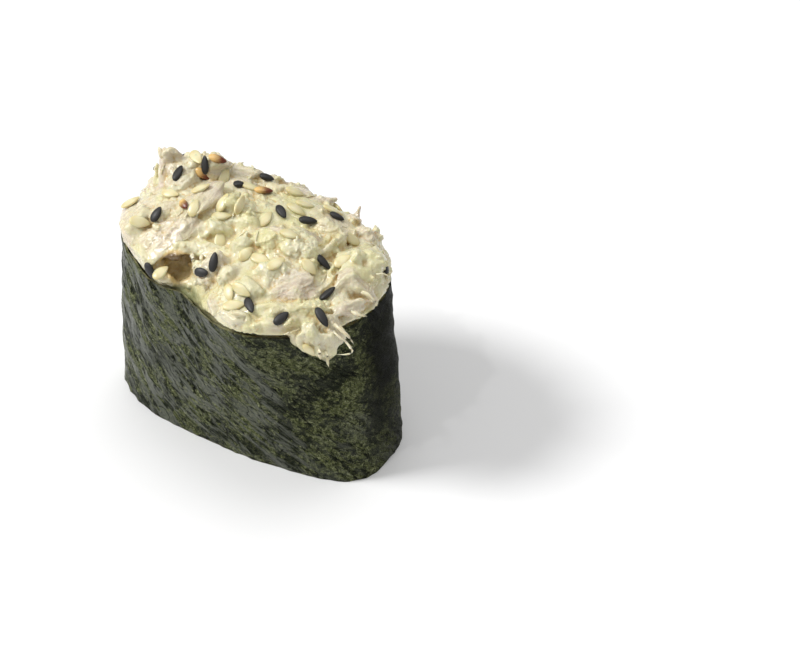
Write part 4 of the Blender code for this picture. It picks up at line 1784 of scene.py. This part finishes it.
    def _curds(self, tree: BVHTree) -> list[Item]:
        """Small curds of mayonnaise and crumbs of tuna.

        Args:
            tree: the bare heap's surface.

        Returns:
            The curds.
        """
        model = ball(2)
        matrices = []
        for place, normal in self._spread(
            tree, self.size.curds, self.outline.height + 0.3 * MM, self.size.curd_spacing
        ):
            if noise.noise(place / 0.0052) < -0.1:
                continue
            wide = self.draw.uniform(0.6, 1.3) * MM
            matrices.append(
                Matrix.Translation(place + normal * self.draw.uniform(-0.1, 0.35) * MM)
                @ normal.to_track_quat("Z", "Y").to_matrix().to_4x4()
                @ Matrix.Rotation(self.draw.uniform(0.0, math.tau), 4, "Z")
                @ Matrix.Diagonal((wide, wide * self.draw.uniform(0.5, 0.9), wide * 0.7, 1.0))
            )
        curds = [copy_to(model, matrix) for matrix in matrices]
        bpy.data.objects.remove(model)
        return curds

    def _nearest(self, places: np.ndarray) -> tuple[np.ndarray, np.ndarray]:
        """The flake that each place belongs to.

        Args:
            places: a row for each place.

        Returns:
            How much of a flake it is, and its place along that flake's own axes.
        """
        best = np.full(len(places), np.inf)
        kind = np.zeros(len(places))
        local = places.copy()
        for number, (inverse, half, flake) in enumerate(self.flake_frames):
            turn = np.array(inverse.to_3x3())
            shift = np.array(inverse.translation)
            own = places @ turn.T + shift
            far = np.linalg.norm(own / np.array(half), axis=1) - 1.0
            closer = far * min(half) < best
            best = np.where(closer, far * min(half), best)
            kind = np.where(closer, flake * np.exp(-np.maximum(far, 0.0) * 2.5), kind)
            local[closer] = own[closer] + number * 0.013
        return kind, local

    def _relief(self, item: Item) -> None:
        """Works fine lumps and torn fibres into the heap's skin.

        Args:
            item: the heap.
        """
        size = self.size
        places, normals = corners_of(item), normals_of(item)
        for index in np.nonzero((places[:, 0] < 0.0) & (places[:, 2] < 36.0 * MM))[0]:
            places[index] = self.outline.held(Vector(places[index]), -0.1 * MM, 0.22)
        kind, local = self._nearest(places)
        crumbly = np.clip(noise_rows(places, size.patch_wave, 4.0) * 1.9 + 0.5, 0.12, 1.0)
        hollow = np.linalg.norm(places - np.array(size.hollow_place) * MM, axis=1)
        crumbly *= np.clip((hollow - 2.6 * MM) / (1.2 * MM), 0.5, 1.0)
        lumps = crumb_rows(places, size.lump_wave, 0.5)
        crumbs = crumb_rows(places, size.crumb_wave, 3.5)
        strands = noise_rows(local / np.array(size.strand_wave), 1.0, 0.0)
        push = size.lump_depth * (lumps - 0.6) * crumbly * (1.0 - 0.6 * kind)
        push += size.crumb_depth * (crumbs - 0.6) * np.sqrt(crumbly) * (1.0 - 0.3 * kind)
        push += size.warp_depth * noise_rows(places, size.warp_wave, 8.0)
        push += size.strand_depth * strands * kind
        keep = ramp(places[:, 2], size.smooth_below, 1.0 * MM)
        places += normals * (push * keep)[:, None]
        for index in np.nonzero((places[:, 0] < 2.0 * MM) & (places[:, 2] < 32.0 * MM))[0]:
            above = mix(0.1, 0.7, smooth_step(-places[index, 0] / (8.0 * MM))) * MM
            places[index] = self.outline.tucked(Vector(places[index]), size.inset, above)
        move_corners(item, places)

    def _marks(self, item: Item) -> None:
        """Stores what the finish reads: flakes, their fibres and the shade painted into the
        crevices and the hollow.

        Args:
            item: the heap.
        """
        places = corners_of(item)
        kind, local = self._nearest(places)
        blotch = noise_rows(places, 0.0032, 6.0)
        kind = np.clip(kind + 0.35 * blotch - 0.05, 0.0, 1.0)
        normals = normals_of(item)
        # Painted shade for the crevices, from how far each vertex lies below the average of its
        # neighbours, widely and nearby.
        wide = neighbour_mean(item, places, 40)
        near = neighbour_mean(item, places, 6)
        deep_shade = np.einsum("ij,ij->i", wide - places, normals)
        fine = np.einsum("ij,ij->i", near - places, normals)
        painted_cavity_shade = ramp(deep_shade, 0.0, 0.8 * MM) * 0.75 + ramp(fine, 0.0, 0.13 * MM) * 0.35
        # More painted shade in the hollow, darker towards its top under the lip.
        hollow = np.array(Vector(self.size.hollow_place) * MM)
        away = np.linalg.norm(places - hollow, axis=1)
        steep = np.clip(0.5 + 0.5 * (places[:, 2] - 32.4 * MM) / (1.6 * MM), 0.34, 1.0)
        painted_cavity_shade = np.maximum(painted_cavity_shade, ramp(away, 3.4 * MM, -0.7 * MM) * steep)
        angle = np.degrees(np.arctan2(places[:, 1], places[:, 0]))
        brim = np.exp(-(((angle + 104.0) / 14.0) ** 2)) * ramp(places[:, 2], 31.0 * MM, -0.9 * MM)
        store(item, "flake", kind)
        store(item, "fibre", local)
        store(item, "smear", np.clip(brim * (0.9 + 0.8 * blotch), 0.0, 1.0))
        store(item, "painted_cavity_shade", np.clip(painted_cavity_shade, 0.0, 0.92))


@dataclass(frozen=True)
class Shred:
    """A torn fibre as seen from the viewpoint, in millimetres: where it leaves the heap, then how
    far its middle and its tip lie to the right, up and nearer, and its radius."""

    right: float
    up: float
    middle: tuple[float, float, float]
    tip: tuple[float, float, float]
    radius: float


@dataclass(frozen=True)
class ShredSize:
    """Sizes of the torn fibres."""

    more: int = 60
    length: tuple[float, float] = (1.4 * MM, 3.6 * MM)
    radius: tuple[float, float] = (0.12 * MM, 0.22 * MM)
    root: float = 0.5 * MM
    lowest: float = 31.2 * MM
    shreds: tuple[Shred, ...] = (
        # branch and loop at the right of the tongue
        Shred(11.2, 0.9, (1.8, -0.6, 0.9), (3.8, -2.9, 0.6), 0.36),
        Shred(11.8, 0.0, (3.0, -3.0, 0.9), (0.4, -3.5, 0.5), 0.22),
        Shred(11.4, 0.4, (1.2, -1.1, 0.6), (2.7, -2.2, 0.4), 0.28),
        Shred(12.6, 1.2, (0.9, -1.2, 0.6), (1.2, -2.4, 0.3), 0.24),
        # tip and left edge of the tongue
        Shred(10.6, -3.0, (0.2, -1.2, 0.2), (0.5, -2.7, 0.1), 0.36),
        Shred(9.6, -2.8, (0.0, -0.9, 0.2), (0.2, -1.8, 0.1), 0.4),
        # wisps over the rim at the right end
        Shred(16.4, 6.4, (1.2, -0.7, 0.6), (2.6, -2.0, 0.4), 0.34),
        Shred(16.6, 5.4, (1.1, -0.2, 0.5), (2.3, -1.4, 0.2), 0.26),
        Shred(14.6, 3.2, (1.2, -0.5, 0.5), (2.8, -0.8, 0.1), 0.3),
        Shred(15.2, 3.9, (0.6, -1.0, 0.4), (1.6, -1.3, 0.1), 0.24),
        Shred(18.6, 8.9, (1.2, 0.3, 0.6), (2.4, -0.5, 0.3), 0.14),
        # ragged lip over the hollow
        Shred(-11.2, 12.6, (0.3, -0.8, 0.6), (0.7, -1.5, 0.4), 0.42),
        Shred(-9.6, 12.4, (0.2, -0.6, 0.6), (0.2, -1.3, 0.5), 0.38),
        # loose ends on the crest
        Shred(-15.6, 27.6, (-0.5, 0.9, 0.2), (-0.9, 2.0, 0.2), 0.5),
        Shred(-5.4, 25.4, (0.6, 1.1, 0.4), (1.4, 1.9, 0.3), 0.36),
        # front lip
        Shred(6.4, 0.5, (-1.2, -0.6, 0.4), (-2.6, -0.9, 0.2), 0.3),
        Shred(-2.4, 2.2, (-1.2, 0.3, 0.4), (-2.6, 0.9, 0.2), 0.36),
    )


class Shreds:
    """Torn fibres of tuna that stand out of the heap or lie on it."""

    def __init__(self, size: ShredSize) -> None:
        """Keeps the sizes."""
        self.size = size

    def build(self, view: Viewpoint, heap: Item, material: Paint) -> Item:
        """Models the fibres.

        Args:
            view: the viewpoint that they are seen from.
            heap: the heap they grow from.
            material: their finish.

        Returns:
            The fibres as one piece.
        """
        tree = BVHTree.FromObject(heap, bpy.context.evaluated_depsgraph_get())
        right, up, back = view.axes()
        made = []
        for shred in self.size.shreds:
            hit, normal, _, _ = tree.ray_cast(*view.ray(shred.right, shred.up))
            if hit is None:
                continue
            ends = [
                hit + (right * x + up * y + back * z) * MM for x, y, z in (shred.middle, shred.tip)
            ]
            made.append(self._strand(hit - normal * self.size.root, *ends, shred.radius * MM))
        draw = random.Random(31)
        for _ in range(self.size.more):
            start = Vector((draw.uniform(-23, 23) * MM, draw.uniform(-17, 17) * MM, CLEAR))
            lean = Vector((draw.gauss(0, 0.4), draw.gauss(0, 0.4), -1.0)).normalized()
            hit, normal, _, _ = tree.ray_cast(start - lean * 0.01, lean)
            if hit is None or hit.z < self.size.lowest:
                continue
            away = Vector((draw.gauss(0, 1), draw.gauss(0, 1), draw.gauss(0, 1)))
            away = normal.cross(away).normalized() * draw.uniform(*self.size.length)
            middle = self._on(tree, hit + away * 0.5)
            tip = self._on(tree, hit + away)
            made.append(
                self._strand(hit - normal * 0.1 * MM, middle, tip, draw.uniform(*self.size.radius))
            )
        piece = join(made, "tuna_shreds")
        count = len(piece.data.vertices)
        store(piece, "flake", np.full(count, 0.45))
        store(piece, "fibre", corners_of(piece))
        store(piece, "painted_cavity_shade", np.zeros(count))
        store(piece, "smear", np.zeros(count))
        return dress(piece, material)

    @staticmethod
    def _on(tree: BVHTree, place: Vector) -> Vector:
        """Point a little over the heap's surface where that is nearest to a place."""
        hit, normal, _, _ = tree.find_nearest(place)
        return hit + normal * 0.12 * MM

    @staticmethod
    def _strand(start: Vector, middle: Vector, tip: Vector, radius: float) -> Item:
        """One fibre, thick where it starts and thin at its tip.

        Args:
            start: where it starts.
            middle: a point on its way.
            tip: where it ends.
            radius: its radius at the start.

        Returns:
            The fibre.
        """
        strand = globe(8, 14)
        pull = middle * 2.0 - (start + tip) * 0.5
        for vertex in strand.data.vertices:
            share = vertex.co.z + 0.5
            spot = start.lerp(pull, share).lerp(pull.lerp(tip, share), share)
            ahead = (pull - start).lerp(tip - pull, share).normalized()
            side = ahead.orthogonal().normalized()
            other = ahead.cross(side)
            flat = Vector((vertex.co.x, vertex.co.y))
            if flat.length > 1e-6:
                flat = flat.normalized()
            wide = radius * (1.0 - 0.5 * share) * min(1.0, (1.0 - share) * 6.0, share * 8.0 + 0.1)
            wide *= 1.0 + 0.6 * noise.noise(spot / 0.0009)
            sway = Vector((noise.noise(spot / 0.0016), noise.noise(spot / 0.0016 + side), 0.0))
            vertex.co = spot + (side * flat.x + other * flat.y * 0.6) * wide + sway * radius * 0.8
        return strand


@dataclass(frozen=True)
class SeedSpot:
    """A seed as seen from the viewpoint: millimetres right and up, and its angle."""

    right: float
    up: float
    angle: float
    length: float = 1.0


@dataclass(frozen=True)
class SeedSize:
    """Sizes of a sesame seed."""

    length: float = 3.1 * MM
    width: float = 1.6 * MM
    thickness: float = 0.9 * MM
    point: float = 0.30
    blunt: float = 2.5
    sink: float = 0.12
    spacing: float = 2.6 * MM
    lowest: float = 31.6 * MM


class SesameSeeds:
    """Sesame seeds of one kind, laid on the heap."""

    def __init__(
        self, toast: Toast, size: SeedSize, spots: tuple[SeedSpot, ...], more: int
    ) -> None:
        """Keeps what the seeds are like and where they lie.

        Args:
            toast: kind of seed.
            size: sizes of a seed.
            spots: seeds that show in the picture.
            more: how many lie elsewhere.
        """
        self.toast = toast
        self.size = size
        self.spots = spots
        self.more = more

    def _model(self) -> Item:
        """One seed: flat, round at one end and pointed at the other.

        Returns:
            The seed at the origin, its length along X.
        """
        size = self.size
        seed = globe(14, 12)
        seed.data.transform(Matrix.Rotation(math.pi / 2.0, 4, "Y"))
        along, end = [], []
        for vertex in seed.data.vertices:
            x, y, z = vertex.co
            swell = (1.0 - (2.0 * abs(x)) ** size.blunt) ** 0.5
            plain = max(1e-4, math.sqrt(max(0.0, 1.0 - 4.0 * x * x)))
            y, z = (y * swell / plain, z * swell / plain) if abs(x) < 0.499 else (0.0, 0.0)
            narrow = 1.0 - size.point * smooth_step(x + 0.5) * (0.4 + 1.6 * max(0.0, x))
            rounder = 1.0 - 0.10 * math.cos(4.0 * math.atan2(z, y))
            y, z = y * size.width * narrow * rounder, z * size.thickness * narrow
            vertex.co = (x * size.length, y, z)
            along.append(2.0 * abs(x))
            end.append(0.5 + x)
        store(seed, "along", np.array(along))
        store(seed, "end", np.array(end))
        return seed

    def build(self, view: Viewpoint, heap: Item, taken: list[Vector], material: Paint) -> Item:
        """Models the seeds.

        Args:
            view: the viewpoint that the spots are seen from.
            heap: the heap they lie on.
            taken: places of seeds so far, which this adds to.
            material: their finish.

        Returns:
            The seeds as one piece.
        """
        tree = BVHTree.FromObject(heap, bpy.context.evaluated_depsgraph_get())
        draw = random.Random(len(self.spots) * 7 + self.more)
        right, up, _ = view.axes()
        model = self._model()
        seeds = []
        for spot in self.spots:
            eye, sight = view.ray(spot.right, spot.up)
            hit, normal, _, _ = tree.ray_cast(eye, sight)
            if hit is None:
                continue
            normal = self._broad_normal(tree, hit, normal)
            hit = self._rest(tree, hit, normal)
            turn = math.radians(spot.angle)
            lie = right * math.cos(turn) + up * math.sin(turn)
            lie = (lie - normal * lie.dot(normal)).normalized()
            seeds.append(self._lay(model, hit, normal, lie, spot.length, draw))
            taken.append(hit)
        for hit, normal in self._elsewhere(tree, view, taken, draw):
            hit = self._rest(tree, hit, normal)
            lie = normal.cross(Vector((draw.gauss(0, 1), draw.gauss(0, 1), draw.gauss(0, 1))))
            seeds.append(self._lay(model, hit, normal, lie.normalized(), 1.0, draw))
        bpy.data.objects.remove(model)
        return dress(join(seeds, f"sesame_{self.toast.value}"), material)

    @staticmethod
    def _broad_normal(tree: BVHTree, hit: Vector, normal: Vector) -> Vector:
        """Normal of the surface averaged over a seed's size.

        Args:
            tree: the heap's surface.
            hit: the place.
            normal: the normal there.

        Returns:
            The averaged normal.
        """
        total = normal.copy()
        for _, other, _, _ in tree.find_nearest_range(hit, 1.2 * MM):
            total += other
        return total.normalized()

    @staticmethod
    def _rest(tree: BVHTree, hit: Vector, normal: Vector) -> Vector:
        """Moves a place out to where a seed rests on the crumbs round it.

        Args:
            tree: the heap's surface.
            hit: the place.
            normal: the surface's broad normal.

        Returns:
            The moved place.
        """
        side = normal.orthogonal().normalized()
        heights = [0.0]
        for step in range(8):
            turn = Matrix.Rotation(step * math.tau / 8.0, 3, normal)
            start = hit + turn @ side * 0.7 * MM + normal * 2.0 * MM
            found, _, _, _ = tree.ray_cast(start, -normal, 4.0 * MM)
            if found is not None:
                heights.append((found - hit).dot(normal))
        return hit + normal * min(0.7 * MM, sorted(heights)[-3])

    def _lay(
        self, model: Item, hit: Vector, normal: Vector, lie: Vector, length: float,
        draw: random.Random,
    ) -> Item:
        """Lays one seed on the heap.

        Args:
            model: the seed to copy.
            hit: the place.
            normal: the surface's normal.
            lie: direction of the seed's length.
            length: its length as a share of the usual.
            draw: source of the small differences.

        Returns:
            The seed.
        """
        size = self.size
        roll = Matrix.Rotation(math.radians(draw.uniform(-10.0, 10.0)), 4, "X")
        pitch = Matrix.Rotation(math.radians(draw.uniform(-7.0, 7.0)), 4, "Y")
        raised = hit + normal * size.thickness * (0.5 - size.sink)
        grown = length * draw.uniform(0.94, 1.05)
        lengths = Matrix.Diagonal((grown, draw.uniform(0.92, 1.05), 1.0, 1.0))
        turn = facing(lie, normal) @ pitch @ roll
        return copy_to(model, Matrix.Translation(raised) @ turn @ lengths)

    def _elsewhere(
        self, tree: BVHTree, view: Viewpoint, taken: list[Vector], draw: random.Random
    ) -> list[tuple[Vector, Vector]]:
        """Places for the seeds that the viewpoint doesn't see.

        Args:
            tree: the heap's surface.
            view: the viewpoint.
            taken: places of seeds so far, which this adds to.
            draw: source of the places.

        Returns:
            The places with their normals.
        """
        found = []
        eye = view.eye()
        for _ in range(self.more * 60):
            if len(found) == self.more:
                break
            start = Vector((draw.uniform(-24, 24) * MM, draw.uniform(-18, 18) * MM, CLEAR))
            lean = Vector((draw.gauss(0, 0.35), draw.gauss(0, 0.35), -1.0)).normalized()
            hit, normal, _, _ = tree.ray_cast(start - lean * 0.01, lean)
            if hit is None or hit.z < self.size.lowest or normal.z < 0.1:
                continue
            if any((hit - other).length < self.size.spacing for other in taken):
                continue
            raised = (hit + normal * 1.5 * MM, hit + Vector((0.0, 0.0, 1.6 * MM)))
            if any(tree.ray_cast(at, (eye - at).normalized())[0] is None for at in raised):
                continue
            taken.append(hit)
            found.append((hit, self._broad_normal(tree, hit, normal)))
        return found


# ---- the studio --------------------------------------------------------------------------------


@dataclass(frozen=True)
class Lamp:
    """A soft area light: its name, its place as seen from the object, its size and power."""

    name: str
    place: tuple[float, float, float]
    size: float
    power: float


@dataclass(frozen=True)
class Studio:
    """Plain floor, lights and surroundings."""

    floor_colour: Colour = (0.92, 0.92, 0.92)
    floor_side: float = 12.0
    floor_drop: float = 0.00002
    world: float = 0.38
    lamps: tuple[Lamp, ...] = (
        Lamp("key", (-0.80, -0.60, 1.00), 0.42, 15.2),
        Lamp("top", (-0.05, 0.35, 1.20), 0.90, 5.0),
        Lamp("spark", (-0.20, -0.80, 1.25), 0.05, 1.3),
    )

    def build(self) -> None:
        """Makes the floor, the lights and the world."""
        deselect()
        bpy.ops.mesh.primitive_plane_add(
            size=self.floor_side, location=(0.0, 0.0, -self.floor_drop)
        )
        floor = bpy.context.object
        floor.name = "floor"
        made = Material("floor")
        made.set(Base_Color=self.floor_colour, Roughness=0.85, Specular_IOR_Level=0.1)
        floor.data.materials.append(made.data)
        for lamp in self.lamps:
            data = bpy.data.lights.new(lamp.name, "AREA")
            data.shape = "DISK"
            data.size = lamp.size
            data.energy = lamp.power
            item = bpy.data.objects.new(lamp.name, data)
            bpy.context.scene.collection.objects.link(item)
            item.location = lamp.place
            aim = Vector((0.0, 0.0, 0.02)) - Vector(lamp.place)
            item.rotation_euler = aim.to_track_quat("-Z", "Y").to_euler()
        world = bpy.data.worlds.new("studio")
        bpy.context.scene.world = world
        world.use_nodes = True
        back = world.node_tree.nodes["Background"]
        back.inputs["Color"].default_value = (1.0, 1.0, 1.0, 1.0)
        back.inputs["Strength"].default_value = self.world
        bpy.context.scene.view_settings.view_transform = "Standard"


# ---- seeds that show in the picture ------------------------------------------------------------

BLACK_SPOTS = tuple(
    SeedSpot(*row)
    for row in (
        (-13.1, 25.2, 80), (-8.7, 26.8, 82), (1.0, 24.5, 5, 0.8), (-16.6, 18.7, 62, 0.9),
        (3.4, 19.0, -75), (7.7, 17.6, 8), (12.3, 18.2, -30, 0.8), (9.8, 10.8, -50),
        (-7.4, 11.1, 78), (-9.2, 9.4, -10, 0.85), (-17.3, 10.0, -65), (11.0, 5.8, 62),
        (-1.6, 3.9, -68), (3.5, 1.8, 42, 0.9), (10.0, 2.1, -62, 1.1), (-3.4, 23.4, 20, 0.6),
    )
)

WHITE_SPOTS = tuple(
    SeedSpot(*row)
    for row in (
        (-20.8, 20.6, 60), (-19.4, 17.6, -10), (-10.3, 28.1, -60, 1.1), (-9.5, 22.9, 50),
        (-14.4, 22.1, -20, 0.9), (-10.6, 19.8, 75, 0.9), (-6.0, 24.8, 70), (-6.0, 20.6, 60, 1.1),
        (-3.5, 20.3, 45, 1.15), (-6.3, 18.4, 10), (-6.5, 14.7, 85, 1.1), (-1.5, 23.1, -20, 1.15),
        (0.8, 17.9, 58, 1.1), (4.8, 15.5, -25, 1.05), (5.8, 19.5, -40), (7.3, 20.3, 10),
        (5.6, 22.4, 0), (-2.3, 12.3, 55, 0.95), (0.0, 11.5, -30, 1.05), (2.6, 10.8, 50, 1.1),
        (-2.9, 6.6, -30, 1.1), (-5.0, 6.1, -70), (-4.2, 4.0, 5, 1.1), (-16.0, 9.4, 45, 0.9),
        (8.0, -3.0, -80, 0.95), (13.4, 11.0, 40, 0.9), (15.0, 14.8, -30), (11.8, 19.4, 0, 1.1),
        (7.9, 10.3, -55, 0.9),
    )
)

TOASTED_SPOTS = tuple(
    SeedSpot(*row)
    for row in (
        (-6.9, 27.7, -12, 1.0), (-9.2, 25.5, -35, 0.95), (-12.1, 20.3, -40, 0.75),
        (0.5, 22.3, 12, 1.0),
    )
)


def main() -> None:
    """Builds the sushi and its studio, piece by piece."""
    logging.basicConfig(level=logging.INFO, format="%(message)s")
    outline, view, effects = Outline(), Viewpoint(), Effects()

    wrap = NoriBand(outline, NoriSize())
    band = wrap.build(NoriFinish().build(effects))
    rice = RiceBlock(outline, RiceSize()).build(RiceFinish().build(effects))
    creamy = MayoFinish().build(effects)
    heap = TunaHeap(outline, HeapSize()).build(view, wrap.room(), creamy)
    shreds = Shreds(ShredSize()).build(view, heap, creamy)
    taken: list[Vector] = []
    plain = SeedSize()
    plump = SeedSize(3.3 * MM, 2.05 * MM, 0.75 * MM, 0.36, 2.1, 0.34)
    dark = SeedFinish(Toast.BLACK, linear(34, 33, 32), linear(24, 23, 22), 0.55, 0.0)
    brown = SeedFinish(Toast.TOASTED, linear(228, 190, 120), linear(104, 44, 14), 0.25, 0.2)
    ivory = SeedFinish(Toast.WHITE, linear(226, 217, 174), linear(214, 201, 150), 0.22, 0.4)
    seeds = [
        SesameSeeds(hull.toast, size, spots, more).build(view, heap, taken, hull.build(effects))
        for hull, size, spots, more in (
            (dark, plain, BLACK_SPOTS, 16),
            (brown, plain, TOASTED_SPOTS, 3),
            (ivory, plump, WHITE_SPOTS, 34),
        )
    ]
    for piece, node in ((band, "nori_wrap"), (rice, "rice_block"), (heap, "tuna_topping")):
        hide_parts(node)
    for piece in (band, rice, heap, shreds, *seeds):
        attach(piece, "root")
        LOG.info("%s: %d faces", piece.name, len(piece.data.polygons))
    view.build()
    Studio().build()


if __name__ == "__main__":
    main()
